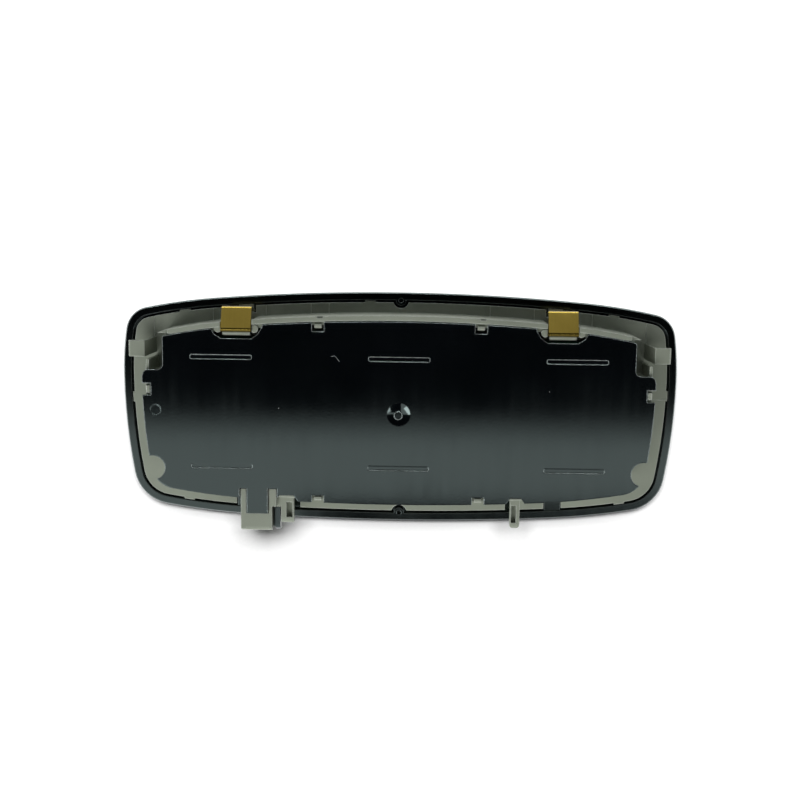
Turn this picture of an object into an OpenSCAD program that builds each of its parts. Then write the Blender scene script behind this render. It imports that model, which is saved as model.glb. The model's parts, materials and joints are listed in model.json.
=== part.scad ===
// Car dome light for the middle of a headliner, lying on its front face.
// X runs along the lamp, Y across it towards the spring clips, Z from the front face to the back.
// The origin is the middle of the bezel's front face, and every size is in millimetres.

/* [Bezel] */
// Length of the bezel along X
bezel_w = 220; // [214:1:230]
// Reach of the bezel from its widest line towards the clips
bezel_above = 34; // [33:0.5:37]
// Reach of the bezel from its widest line towards the hooks
bezel_below = 58; // [57:0.5:62]
// Radius of the two corners on the clip side
bezel_corner_above = 10.2; // [9:0.2:13]
// Radius of the two corners on the hook side
bezel_corner_below = 15.6; // [14:0.2:18]
// Radius of the shoulders beside the corners on the clip side
shoulder_above = 220; // [200:5:240]
// Radius of the shoulders beside the corners on the hook side
shoulder_below = 272; // [250:2:290]
// Thickness of the bezel's face
face_t = 2.4; // [2:0.1:3]
// Width of the rim that stands up behind the bezel's edge
rim_w = 3.0; // [2.4:0.1:3.4]
// Height of that rim above the front face
rim_h = 4.9; // [4.2:0.1:6]
// Width of the rounding round the front edge
edge_in = 2.4; // [1.5:0.1:2.8]
// Height of the rounding round the front edge
edge_h = 2.0; // [1.2:0.1:2.3]
// Depth of the lenses and buttons behind the front face
front_recess = 0.5; // [0.4:0.1:0.8]
// Width of the flare round each opening of the face
flare_w = 0.8; // [0.4:0.1:1.2]
// Radius of the two stake bosses in the bezel's rim
stake_r = 2.0; // [1.6:0.1:2.4]
// Radius of the hole in each stake boss
stake_hole_r = 0.9; // [0.5:0.1:1.2]

/* [Lenses and buttons] */
// Distance between the dome lens and each reading lens
lens_gap = 12.2; // [11.5:0.1:16]
// Distance between the dome lens and the buttons
button_gap = 6.1; // [5:0.1:9]
// Distance between the dome lens and the ledge on the clip side
dome_margin = 4; // [2.5:0.1:7]
// Corner radius of the dome lens
dome_r = 8; // [5:0.5:12]
// Radius of each reading lens
reading_r = 18.8; // [17:0.2:19.4]
// Distance of the reading lenses' centres from the bezel's ends
reading_in = 37; // [36.5:0.1:40]
// Distance of the reading lenses' centres below the widest line
reading_drop = 11; // [10.5:0.1:13]
// Width of the ledge that holds a lens behind the face
lens_ledge = 1.5; // [1:0.1:1.8]
// Thickness of that ledge
ledge_t = 1.2; // [1:0.1:1.5]
// Width of each button
button_w = 23; // [18:0.5:24]
// Height of each button
button_h = 10; // [8:0.5:10.5]
// Space between two buttons
button_space = 4; // [3.5:0.5:7]
// Distance of the buttons' centres from the tub's wall
button_in = 10; // [9.6:0.1:11]
// Travel of each button
button_travel = 1.2; // [0.8:0.1:1.3]
// Width of the collar that keeps a button behind the face
collar_w = 0.9; // [0.6:0.1:1]

/* [Carrier] */
// Thickness of the carrier's flange and floor
flange_t = 2.2; // [1.8:0.1:2.6]
// Distance of the flange from the bezel's outer edge
flange_in = 4.0; // [3.6:0.1:4.4]
// Distance of the tub wall from the bezel's edge at the clip side
tub_in_above = 8.1; // [7.8:0.1:8.6]
// Distance of the tub wall from the bezel's edge at the hook side
tub_in_below = 11.4; // [11:0.1:12]
// Distance of the tub wall from the bezel's edge at each end
tub_in_side = 12.6; // [12:0.1:13.2]
// Corner radius of the tub
tub_corner = 8.5; // [7:0.5:10]
// Thickness of the tub wall
wall_t = 1.9; // [1.6:0.1:2.2]
// Height of the raised lip along the clip side above the tub wall
lip_h = 1.3; // [0.8:0.1:1.5]
// Width of the ledge inside the lip that the cover rests on
lip_ledge = 1.5; // [1.2:0.1:2]
// Width of each corner niche along X, from the bezel's end
niche_w = 19.5; // [19:0.1:20]
// Height of the niches' lower ends above the widest line
niche_rise = 4; // [3:0.5:5]
// Radius of the scallops at the two corners on the hook side
scallop_r = 4.7; // [4:0.1:5]
// Distance of the scallops' centres from the bezel's ends
scallop_in = 15; // [14.4:0.1:15.6]
// Distance of the scallops' centres from the tub's wall on the hook side
scallop_rise = 12.4; // [11.8:0.1:13]
// Distance of the four locating tabs from the bezel's ends
tab_in = 48; // [47.4:0.1:48.4]
// Width of the four locating tabs
tab_w = 6.4; // [5:0.1:6.8]
// Radius of the screw posts
post_r = 3.0; // [2.6:0.1:3.4]

/* [Rear cover] */
// Depth of the whole lamp
body_depth = 22; // [21:0.25:24]
// Thickness of the rear cover
cover_t = 1.6; // [1.4:0.1:2]
// Distance of the cover's edge from the bezel's edge on both long sides
cover_in = 10.4; // [10.3:0.1:11]
// Distance of the cover's edge from the bezel's edge at each end
cover_in_side = 11.5; // [11.2:0.1:12]
// Corner radius of the cover on the hook side
cover_corner = 10; // [8:0.5:14]
// Length of each stiffening groove
groove_len = 23.4; // [16:0.2:28]
// Width of each stiffening groove
groove_w = 1.6; // [1.2:0.1:2.2]
// Depth of each stiffening groove
groove_d = 0.55; // [0.2:0.05:0.7]
// Distance of the outer grooves' centres from the cover's ends
groove_in = 30.3; // [28:0.1:38]
// Distance of the two rows of grooves from the cover's long edges
groove_edge = 14.4; // [13:0.1:18]
// Radius of the dish round the moulding gate
dish_r = 4.5; // [3:0.1:6]
// Depth of that dish
dish_depth = 0.7; // [0.3:0.05:0.8]
// Width of the six snap windows
window_w = 4.6; // [4:0.1:5.4]
// Depth of the snap windows on the long sides
window_d = 4.1; // [3.8:0.1:4.6]
// Depth of the snap windows at the ends
window_end_d = 3.3; // [3.2:0.1:3.6]
// Distance of the snap windows on the long sides from the bezel's ends
window_in = 78.9; // [76:0.1:82]
// Distance of the snap windows at the ends below the widest line
window_drop = 3.6; // [2.4:0.1:7]

/* [Spring clips] */
// Width of each spring clip
clip_w = 11.4; // [10:0.2:13]
// Thickness of the clip's sheet
clip_t = 0.5; // [0.4:0.05:0.6]
// Distance of each clip's centre from the bezel's end
clip_in = 47.6; // [47:0.1:48.6]
// Distance of the clip's inner leg from the tub's outer face
clip_leg_in = 6.8; // [6.6:0.1:7]
// Height of the clip's top bend above the rear cover
clip_rise = 0.6; // [0.2:0.1:1.2]
// Reach of the clip's outer bend past the tub's outer face
clip_nose_out = 2.5; // [1.8:0.1:2.8]
// Height of the clip's outer bend above the front face
clip_nose_z = 18.3; // [17:0.1:18.8]

/* [Arms, hooks and connector] */
// Width of each end arm along Y
arm_w = 6.2; // [5:0.1:7]
// Distance of the arms' middle above the widest line
arm_rise = 11.3; // [10:0.1:11.6]
// Depth of the arms' rear faces below the cover's
arm_drop = 7; // [6:0.1:8]
// Thickness of the arms
arm_t = 2; // [1.6:0.1:2.4]
// Distance of the arms' tips from the bezel's ends
arm_short = 4.8; // [3:0.1:6]
// Length of the arms' flat part
arm_flat = 6.2; // [5.6:0.1:6.8]
// Length along X of the arms' sloping part
arm_ramp = 2.4; // [2:0.1:3]
// Width of the connector's socket
socket_w = 8.8; // [8:0.1:9.6]
// Height of the connector's socket
socket_h = 7.0; // [6:0.1:7.4]
// Distance of the socket's middle from the bezel's end
socket_in = 55.3; // [54:0.1:55.4]
// Reach of the socket's mouth past the bezel
socket_out = 1; // [0.2:0.1:1.4]
// Thickness of the socket's outer side wall
socket_wall = 2.1; // [1.6:0.1:2.4]
// Distance of the socket's rear bar from the tub's wall
socket_bar_out = 5.4; // [5:0.1:7]
// Width of the narrow hook
hook_w = 3.8; // [3.4:0.1:4.6]
// Distance of the narrow hook from the bezel's end
hook_in = 64.2; // [63.6:0.1:66]
// Distance of the pocket hook from the socket's middle
pocket_hook_off = 11.4; // [11.3:0.1:12.2]
// Width of the pocket hook beside the socket
pocket_hook_w = 4.9; // [4.4:0.1:5.6]
// Distance of the narrow hook's tip from the bezel's widest reach
hook_short = 0.6; // [0.2:0.1:2]
// Distance of the pocket hook's tip from the bezel's widest reach
pocket_hook_short = 1.6; // [1:0.1:3]
// Depth of the hooks' rear faces below the cover's
hook_drop = 2.8; // [2.2:0.1:3.4]
// Thickness of the hooks
hook_t = 3.0; // [2.4:0.1:3.6]

/* [Circuit board] */
// Distance of the board's front face below the rear cover
board_drop = 7.4; // [7:0.1:8]
// Thickness of the board
board_t = 1.6; // [1.4:0.1:1.8]
// Radius of the screws' shanks
screw_r = 1.2; // [1:0.05:1.4]
// Radius of the screws' heads
screw_head_r = 2.3; // [2:0.1:2.6]
// Length of the screws under the head
screw_len = 6.5; // [5:0.1:7.5]

/* [Hidden] */

// Clearance between pieces that sit in each other
fit = 0.3;
// Clearance between faces that rest on each other by snaps or screws
seat = 0.05;
// A little more than a cut needs, so that it passes through its face
through = 1;
// Headings, in degrees, at which the outline's arcs meet, counted from the long edge
turn_above = [5, 12.2, 81.4];
turn_below = [3.3, 10, 80.2];
// Pieces that each arc of the outline is divided into: long edge, shoulder, corner, end
steps = [9, 5, 8, 6];

// Height of the widest line, so that the bezel is centred on the origin
widest_y = (bezel_below - bezel_above) / 2;
half_h = (bezel_above + bezel_below) / 2;
half_w = bezel_w / 2;
floor_z = face_t + flange_t;
wall_z = body_depth - cover_t;
ledge_z = face_t + ledge_t;

// The outlines are lists: width, reach above and below the widest line, and two corner radii
bezel_line = [bezel_w, bezel_above, bezel_below, bezel_corner_above, bezel_corner_below];
tub_line = [bezel_w - 2 * tub_in_side, bezel_above - tub_in_above, bezel_below - tub_in_below,
            tub_corner, tub_corner + 3];
cover_line = [bezel_w - 2 * cover_in_side, bezel_above - cover_in, bezel_below - cover_in,
              tub_corner, cover_corner];
tub_top = widest_y + tub_line[1];
tub_bottom = widest_y - tub_line[2];
tub_half = tub_line[0] / 2;
cover_top = widest_y + cover_line[1];
cover_bottom = widest_y - cover_line[2];
cover_half = cover_line[0] / 2;

// Bezel
stake_y = half_h - rim_w - 0.2;
tab_x = half_w - tab_in;
tab_gap = 0.35;
slit_w = 1;
slit_x = tab_x - 4.3;
lug_w = 5.7;
lug_x = slit_x + (slit_w + lug_w) / 2;

// Lenses and buttons
button_corner = 2.2;
button_y = tub_bottom + button_in;
button_pitch = button_w + button_space;
reading_x = half_w - reading_in;
reading_y = widest_y - reading_drop;
dome_low = button_y + button_h / 2 + button_gap;
dome_high = tub_top - wall_t - lip_ledge - dome_margin;
dome_w = 2 * (reading_x - reading_r - lens_gap);
dome_h = dome_high - dome_low;
dome_y = (dome_high + dome_low) / 2;
collar_z = face_t + fit;

// Circuit board, switches and screw posts
board_z = wall_z - board_drop;
board_back = board_z + board_t;
board_edge = wall_t + 0.6;
switch_h = 3.6;
switch_w = 6;
plunger_out = 1.5;
plunger_r = 1.7;
plunger_deep = 0.6;
stem_end_z = board_z - switch_h - plunger_out;
post_x = dome_w / 2 + lens_gap / 2;
post_low_y = reading_y - reading_r - lens_ledge - fit - post_r - 1.8;
post_places = [for (s = [-1, 1]) each [
    [s * post_x, dome_high - 3.3], [s * post_x, dome_low + 1.5], [s * (reading_x + 6), post_low_y]]];
box_floor_t = 1.2;
box_taper = 3.5;
led_r = 2.6;
led_pitch = 18;
led_columns = floor(dome_w / 20);
dome_led_places = [for (i = [0:led_columns - 1]) for (j = [-0.5, 0.5])
    [(i - (led_columns - 1) / 2) * led_pitch, j * led_pitch]];

// Parts on the board's rear face: lengths, widths and heights
chip_l = 5;
chip_w = 4;
chip_t = 1.6;
lead_pitch = 1.2;
capacitor_w = 6.6;
capacitor_r = 3.1;
coil_w = 7.4;
coil_t = 4.2;
coil_well_r = 2.6;
diode_w = 2.8;
diode_l = 4.4;
diode_t = 2;

// Niches, scallops, windows, grooves and catches
niche_x = half_w - niche_w;
niche_y = widest_y + niche_rise;
niche_edge = 0.9;
niche_wall_t = 1.4;
niche_rim = 1.3;
upper_corner_y = cover_top - 5.7;
scallop_x = half_w - scallop_in;
scallop_y = tub_bottom + scallop_rise;
scallop_gap = 0.6;
window_x = half_w - window_in;
window_y = widest_y - window_drop;
catch_w = 2.7;
catch_t = 1.7;
catch_top = body_depth - 0.5;
catch_y_above = cover_top - 1.8;
dish_sphere = (dish_r * dish_r + dish_depth * dish_depth) / (2 * dish_depth);

// Spring clips and their pockets
clip_x = half_w - clip_in;
clip_leg_y = tub_top - clip_leg_in;
clip_nose_y = tub_top + clip_nose_out;
clip_top_z = body_depth + clip_rise;
bend_r = 0.9;
nose_bend_r = 0.8;
nose_leg = 9;
nose_lean = 12;
clip_slope = atan2(clip_top_z - bend_r - clip_t / 2 - clip_nose_z,
                   clip_nose_y - nose_bend_r - clip_t / 2 - clip_leg_y - bend_r);
pocket_half = clip_w / 2 + 0.9;
pocket_wall = 1.3;
cheek_z = wall_z - 4;
pocket_y = clip_leg_y - clip_t / 2 - 0.1;
boss_r = 1.5;
board_top_y = pocket_y - pocket_wall - 0.6;

// Arms, hooks, socket and its header
arm_y = widest_y + arm_rise;
arm_z = body_depth - arm_drop;
arm_reach = half_w - arm_short;
arm_bend_x = arm_reach - arm_flat;
arm_foot_x = arm_bend_x - arm_ramp;
arm_lean = 1;
socket_x = -(half_w - socket_in);
socket_left = socket_x - socket_w / 2;
socket_right = socket_x + socket_w / 2;
socket_reach = half_h + socket_out;
socket_z = wall_z - 1.2 - socket_h;
socket_top = body_depth - 1;
socket_floor_t = 1.5;
socket_top_y = tub_bottom + 4.3;
socket_root_y = tub_bottom + 3.4;
socket_bar_y = tub_bottom - socket_bar_out;
thick_side = 2.9;
thin_side = 1.2;
bar_t = 1.8;
bar_nose_r = 1.8;
slot_y = tub_top - 0.7;
hook_nose_r = 2.4;
hook_root = 3.4;
hook_x = half_w - hook_in;
hook_reach = half_h - hook_short;
hook_z = body_depth - hook_drop;
pocket_hook_x = socket_x + pocket_hook_off;
pocket_hook_reach = half_h - pocket_hook_short;
header_y = socket_top_y + 0.6;
pin_count = 4;
pin_pitch = 1.9;
pin_w = 0.64;
pin_out = 6.2;
pin_z = socket_z + socket_h / 2 + 0.6;
rail_x = socket_right + thin_side + 1.1;
rail_w = 1.9;
rail_z = board_back + seat;
rail_t = 1.9;
rail_cover = 3;

// Bumps on the flange's edge: the place of each, its length along X and its length along Y
bump_reach = 0.65;
bump_l = 4;
bump_places = concat(
    [for (p = [[-24.7, 1], [25.8, 1], [-25.3, -1], [21, -1]])
        [sign(p[0]) * (half_w - abs(p[0])), p[1] * (half_h - 10), bump_l, 10]],
    [[-half_w / 9, half_h - 6, bump_l, 10]],
    [for (s = [-1, 1]) [s * lug_x, half_h - 6, lug_w, 10]],
    [[-half_w + flange_in, 3, 6, bump_l], [half_w - flange_in, 6.3, 6, bump_l]]);

// Row of parts on the back of the board, from the socket's side to the reading lens
part_row_y = button_y - 0.2;
part_row = [socket_right + thick_side + 14, reading_x - 10];
function part_place(i) = [part_row[0] + (part_row[1] - part_row[0]) * i / 6, part_row_y, board_back + seat];

// Two unknown radii of a quarter: the long edge's and the end's, for a reach of x across and y down
function quarter_radii(x, y, rs, rc, t) =
    let (bx = x - rs * (sin(t[1]) - sin(t[0])) - rc * (sin(t[2]) - sin(t[1])),
         by = y - rs * (cos(t[0]) - cos(t[1])) - rc * (cos(t[1]) - cos(t[2])),
         det = sin(t[0]) * cos(t[2]) - (1 - sin(t[2])) * (1 - cos(t[0])))
    [(bx * cos(t[2]) - by * (1 - sin(t[2]))) / det, (by * sin(t[0]) - bx * (1 - cos(t[0]))) / det];

// The eight arcs from the top middle, round the right end, to the bottom middle, moved inwards by e
function right_arcs(g, e) =
    let (a = quarter_radii(g[0] / 2, g[1], shoulder_above, g[3], turn_above),
         b = quarter_radii(g[0] / 2, g[2], shoulder_below, g[4], turn_below),
         t = turn_above, u = turn_below)
    [[a[0] - e, 0, t[0], steps[0]], [shoulder_above - e, t[0], t[1], steps[1]],
     [g[3] - e, t[1], t[2], steps[2]], [a[1] - e, t[2], 90, steps[3]],
     [b[1] - e, 90, 180 - u[2], steps[3]], [g[4] - e, 180 - u[2], 180 - u[1], steps[2]],
     [shoulder_below - e, 180 - u[1], 180 - u[0], steps[1]], [b[0] - e, 180 - u[0], 180, steps[0]]];

// Points of one arc that starts at p and turns right from one heading to the next
function arc_points(p, arc) =
    [for (k = [1:arc[3]]) let (h = arc[1] + (arc[2] - arc[1]) * k / arc[3])
        [p[0] + arc[0] * (sin(h) - sin(arc[1])), p[1] - arc[0] * (cos(arc[1]) - cos(h))]];

// Points of a chain of arcs, one after another
function chain(p, arcs, i = 0) =
    i == len(arcs) ? []
    : let (pts = arc_points(p, arcs[i])) concat(pts, chain(pts[len(pts) - 1], arcs, i + 1));

// The whole closed outline, moved inwards by e
function outline(g, e = 0) =
    let (right = chain([0, widest_y + g[1] - e], right_arcs(g, e)), n = len(right))
    concat([for (i = [0:n - 1]) right[i]],
           [for (i = [n - 2:-1:0]) [-right[i][0], right[i][1]]],
           [[0, widest_y + g[1] - e]]);

// A plate with the shape of an outline, from z0 to z1
module plate(g, e, z0, z1) {
    translate([0, 0, z0]) linear_extrude(z1 - z0) polygon(outline(g, e));
}

// A solid whose outline steps through a list of [inset, z] rings
module ringed_solid(g, rings) {
    layers = [for (r = rings) outline(g, r[0])];
    n = len(layers[0]);
    m = len(rings);
    points = [for (j = [0:m - 1]) for (i = [0:n - 1]) [layers[j][i][0], layers[j][i][1], rings[j][1]]];
    sides = [for (j = [0:m - 2]) for (i = [0:n - 1]) let (k = (i + 1) % n)
        [j * n + i, j * n + k, (j + 1) * n + k, (j + 1) * n + i]];
    polyhedron(points, concat([[for (i = [n - 1:-1:0]) i]], sides, [[for (i = [0:n - 1]) (m - 1) * n + i]]));
}

// A box with upright round corners, centred on x and y, from z0 to z1
module round_box(w, h, r, z0, z1) {
    translate([0, 0, z0]) {
        translate([-w / 2 + r, -h / 2, 0]) cube([w - 2 * r, h, z1 - z0]);
        translate([-w / 2, -h / 2 + r, 0]) cube([w, h - 2 * r, z1 - z0]);
        for (i = [-1, 1]) for (j = [-1, 1])
            translate([i * (w / 2 - r), j * (h / 2 - r), 0]) cylinder(r = r, h = z1 - z0, $fn = 48);
    }
}

// A box given by its lowest corner and its highest corner
module corner_box(low, high) {
    translate(low) cube(high - low);
}

// An opening in the face with a flared front edge: round corners from cones, straight edges from wedges
module flared_cut(w, h, r) {
    z0 = -0.01;
    round_box(w, h, r, -through, face_t + through);
    for (i = [-1, 1]) for (j = [-1, 1])
        translate([i * (w / 2 - r), j * (h / 2 - r), z0]) cylinder(r1 = r + flare_w, r2 = r, h = flare_w, $fn = 48);
    flare_wedge(w - 2 * r, h);
    rotate(90) flare_wedge(h - 2 * r, w);
}

// A wedge of the given length along X whose width across grows by the flare towards the front
module flare_wedge(length, across) {
    translate([-length / 2, 0, -0.01]) rotate([90, 0, 90]) linear_extrude(length) polygon([
        [-across / 2 - flare_w, 0], [across / 2 + flare_w, 0], [across / 2, flare_w], [-across / 2, flare_w]]);
}

// A flat rectangle with round corners
module rounded_rect(w, h, r) {
    hull() for (i = [-1, 1]) for (j = [-1, 1])
        translate([i * (w / 2 - r), j * (h / 2 - r)]) circle(r = r, $fn = 32);
}

// Bezel

module front_bezel() {
    color("#101214") difference() {
        ringed_solid(bezel_line, [
            [edge_in, 0], [edge_in * 0.55, edge_h * 0.1], [edge_in * 0.24, edge_h * 0.36],
            [edge_in * 0.06, edge_h * 0.68], [0, edge_h], [0, rim_h - 0.5], [0.4, rim_h]]);
        difference() {
            plate(bezel_line, rim_w, face_t, rim_h + through);
            for (s = [-1, 1]) translate([0, s * stake_y, 0]) cylinder(r = stake_r, h = rim_h + through, $fn = 40);
            for (s = [-1, 1])
                corner_box([s * tab_x - tab_w / 2, -half_h, 0], [s * tab_x + tab_w / 2, tub_bottom - 1.6, floor_z - 0.3]);
        }
        for (s = [-1, 1]) translate([0, s * stake_y, face_t]) cylinder(r = stake_hole_r, h = rim_h, $fn = 32);
        translate([0, dome_y, 0]) flared_cut(dome_w + fit, dome_h + fit, dome_r + fit / 2);
        for (i = [-1:1]) translate([i * button_pitch, button_y, 0])
            flared_cut(button_w + 2 * fit, button_h + 2 * fit, button_corner + fit);
        for (s = [-1, 1]) translate([s * reading_x, reading_y, 0]) {
            translate([0, 0, -through]) cylinder(r = reading_r + fit / 2, h = face_t + 2 * through, $fn = 96);
            translate([0, 0, -0.01]) cylinder(r1 = reading_r + fit / 2 + flare_w, r2 = reading_r + fit / 2,
                                              h = flare_w, $fn = 96);
        }
    }
}

// Lenses

module dome_lens() {
    color("#e9ebe6") translate([0, dome_y, 0]) {
        difference() {
            union() {
                round_box(dome_w, dome_h, dome_r, front_recess + 0.4, ledge_z);
                round_box(dome_w - 1.2, dome_h - 1.2, dome_r - 0.6, front_recess, ledge_z);
                round_box(dome_w + 2 * lens_ledge, dome_h + 2 * lens_ledge, dome_r + lens_ledge,
                          face_t + seat, ledge_z);
            }
            round_box(dome_w - 5, dome_h - 5, dome_r - 2.5, face_t - 0.4, ledge_z + through);
        }
    }
}

module reading_lens(s) {
    color("#dfe6e6") translate([s * reading_x, reading_y, 0]) rotate_extrude($fn = 96) polygon([
        [0, front_recess + 0.1], [reading_r * 0.6, front_recess + 0.05], [reading_r - 0.5, front_recess],
        [reading_r, front_recess + 0.5], [reading_r, face_t + seat], [reading_r + lens_ledge, face_t + seat],
        [reading_r + lens_ledge, ledge_z], [reading_r - 2, ledge_z], [reading_r - 2.6, face_t - 0.2],
        [reading_r * 0.7, face_t + 0.5], [reading_r * 0.3, face_t + 1.0], [0, face_t + 1.15]]);
}

// Buttons

module button(i) {
    color("#17191b") translate([i * button_pitch, button_y, 0]) {
        round_box(button_w - 1, button_h - 1, button_corner - 0.5, front_recess, collar_z);
        round_box(button_w, button_h, button_corner, front_recess + 0.5, collar_z);
        difference() {
            round_box(button_w + 2 * collar_w, button_h + 2 * collar_w, button_corner + collar_w,
                      collar_z - 0.01, collar_z + 1.1);
            round_box(button_w - 3, button_h - 3, 1, collar_z + 0.4, collar_z + 2);
        }
        translate([0, 0, collar_z]) cylinder(r = 2.2, h = stem_end_z - collar_z, $fn = 40);
        for (a = [0, 90]) rotate(a)
            corner_box([-button_h / 2 + 1.2, -0.5, collar_z],
                       [button_h / 2 - 1.2, 0.5, collar_z + 0.6 * (stem_end_z - collar_z)]);
    }
}

module switch_plunger(i) {
    color("#c8b48a") translate([i * button_pitch, button_y, stem_end_z])
        cylinder(r = plunger_r, h = plunger_out + plunger_deep, $fn = 40);
}

module switch_bodies() {
    color("#26282a") for (i = [-1:1]) translate([i * button_pitch, button_y, 0]) difference() {
        corner_box([-switch_w / 2, -switch_w / 2, board_z - switch_h], [switch_w / 2, switch_w / 2, board_z - seat]);
        translate([0, 0, board_z - switch_h - through])
            cylinder(r = plunger_r + fit, h = through + plunger_deep + button_travel + fit, $fn = 40);
    }
}

// Carrier

module flange() {
    difference() {
        union() {
            plate(bezel_line, flange_in, face_t, floor_z);
            flange_bumps();
        }
        // Openings of the floor for the lenses, the light box and the buttons
        translate([0, dome_y, 0]) round_box(dome_w + 2 * (lens_ledge + fit), dome_h + 2 * (lens_ledge + fit),
                                            dome_r + lens_ledge + fit, 0, body_depth);
        for (s = [-1, 1]) translate([s * reading_x, reading_y, 0])
            cylinder(r = reading_r + lens_ledge + fit, h = body_depth, $fn = 96);
        for (i = [-1:1]) translate([i * button_pitch, button_y, 0])
            round_box(button_w + 2 * (collar_w + fit), button_h + 2 * (collar_w + fit),
                      button_corner + collar_w + fit, 0, body_depth);
        // Round notches for the bezel's stake bosses
        for (s = [-1, 1]) translate([0, s * stake_y, 0]) cylinder(r = stake_r + 1.1, h = body_depth, $fn = 40);
        // Slits beside the lugs on the clip side, and slots for the bezel's locating tabs
        for (s = [-1, 1]) {
            corner_box([s * slit_x - slit_w / 2, slot_y, 0], [s * slit_x + slit_w / 2, half_h, body_depth]);
            corner_box([s * tab_x - tab_w / 2 - tab_gap, -half_h, 0],
                       [s * tab_x + tab_w / 2 + tab_gap, tub_bottom - 1.2, body_depth]);
        }
        // Gaps under the socket and the two hooks
        corner_box([socket_left - socket_wall - tab_gap, -half_h - socket_out, 0],
                   [pocket_hook_x + pocket_hook_w / 2 + 1, tub_bottom - 1.2, body_depth]);
        corner_box([hook_x - hook_w / 2 - 1, -half_h, 0], [hook_x + hook_w / 2 + tab_gap, tub_bottom - 0.4, body_depth]);
    }
}

// Small bumps on the flange's edge that centre it in the bezel's rim
module flange_bumps() {
    intersection() {
        plate(bezel_line, flange_in - bump_reach, face_t, floor_z);
        for (p = bump_places) translate([p[0], p[1], face_t + flange_t / 2])
            cube([p[2], p[3], 2 * flange_t], center = true);
    }
}

// The tub's wall with its scallops, its raised lip and the ledge inside the lip
module tub() {
    difference() {
        union() {
            plate(tub_line, 0, face_t, wall_z);
            intersection() {
                plate(tub_line, 0, wall_z - through, wall_z + lip_h);
                corner_box([-niche_x + 2, tub_top - 8, 0], [niche_x - 2, tub_top + 1, body_depth]);
            }
        }
        difference() {
            plate(tub_line, wall_t, floor_z, body_depth + through);
            // Ledge along the clip side
            intersection() {
                difference() {
                    plate(tub_line, wall_t - 0.5, floor_z, wall_z);
                    plate(tub_line, wall_t + lip_ledge, floor_z - through, body_depth);
                }
                corner_box([-niche_x, tub_top - 9, 0], [niche_x, tub_top, body_depth]);
            }
            // Walls along the two niches
            for (s = [-1, 1]) niche_wall(s);
            // Walls round the scallops
            for (s = [-1, 1]) translate([s * scallop_x, scallop_y, 0])
                cylinder(r = scallop_r + scallop_gap + wall_t, h = wall_z, $fn = 64);
            // Posts for the board's screws
            for (p = post_places) translate(p) cylinder(r = post_r, h = board_z - seat, $fn = 40);
            // Webs that carry the catches on the clip side
            for (s = [-1, 1]) corner_box([s * window_x - catch_w / 2, catch_y_above - catch_t / 2, 0],
                                         [s * window_x + catch_w / 2, tub_top - wall_t + 0.5, wall_z - 0.4]);
            // Cheeks, bosses and back wall of the clip pockets
            for (s = [-1, 1]) translate([s * clip_x, 0, 0]) clip_pocket();
            // Cheeks of the socket inside the tub
            socket_shell();
        }
        for (s = [-1, 1]) {
            translate([s * scallop_x, scallop_y, floor_z]) cylinder(r = scallop_r + scallop_gap, h = body_depth, $fn = 64);
            niche_space(s);
            clip_gap(s);
        }
        // Opening of the wall behind the socket's mouth
        corner_box([socket_left, tub_bottom - 2, socket_z], [socket_right, tub_bottom + 6, socket_z + socket_h]);
        // Places for the buttons, lenses, light box and reflectors
        translate([0, dome_y, -through]) round_box(dome_w + 2 * (lens_ledge + fit), dome_h + 2 * (lens_ledge + fit),
                                                   dome_r + lens_ledge + fit, 0, floor_z + through + 0.01);
        for (s = [-1, 1]) translate([s * reading_x, reading_y, -through])
            cylinder(r = reading_r + lens_ledge + fit, h = floor_z + through + 0.01, $fn = 96);
        for (i = [-1:1]) translate([i * button_pitch, button_y, -through])
            round_box(button_w + 2 * (collar_w + fit), button_h + 2 * (collar_w + fit),
                      button_corner + collar_w + fit, 0, floor_z + through + 0.01);
        rail_space();
        // Pilot holes for the screws
        for (p = post_places) translate([p[0], p[1], floor_z - 0.6])
            cylinder(r = screw_r + seat, h = body_depth, $fn = 32);
        // Small slots in the lip at the snap windows
        for (s = [-1, 1]) corner_box([s * window_x - 0.4, tub_top - wall_t + 0.5, wall_z + 0.2],
                                     [s * window_x + 1.9, tub_top - wall_t + 1.3, body_depth]);
    }
}

// The wall between a niche and the inside of the tub
module niche_wall(s) {
    corner_box([s > 0 ? niche_x - niche_edge - niche_wall_t : -niche_x + niche_edge, niche_y - niche_edge - niche_wall_t, 0],
               [s > 0 ? niche_x - niche_edge : -niche_x + niche_edge + niche_wall_t, tub_top - 3, wall_z]);
    corner_box([s > 0 ? niche_x - niche_edge - niche_wall_t : -tub_half, niche_y - niche_edge - niche_wall_t, 0],
               [s > 0 ? tub_half : -niche_x + niche_edge + niche_wall_t, niche_y - niche_edge, wall_z]);
}

// The open space of a niche, above the floor
module niche_space(s) {
    inner = niche_x - niche_edge;
    corner_box([s > 0 ? inner : -tub_half + niche_rim, niche_y - niche_edge, floor_z],
               [s > 0 ? tub_half - niche_rim : -inner, arm_y + arm_w / 2 + 3.6, body_depth + through]);
    corner_box([s > 0 ? inner : -tub_half - through, arm_y - arm_w / 2 - 0.4, floor_z],
               [s > 0 ? tub_half + through : -inner, arm_y + arm_w / 2 + 0.4, body_depth + through]);
}

// Cut through the wall and lip that lets a clip's outer leg out
module clip_gap(s) {
    corner_box([s * clip_x - clip_w / 2 - tab_gap, pocket_y, floor_z],
               [s * clip_x + clip_w / 2 + tab_gap, half_h, body_depth + through]);
}

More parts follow.
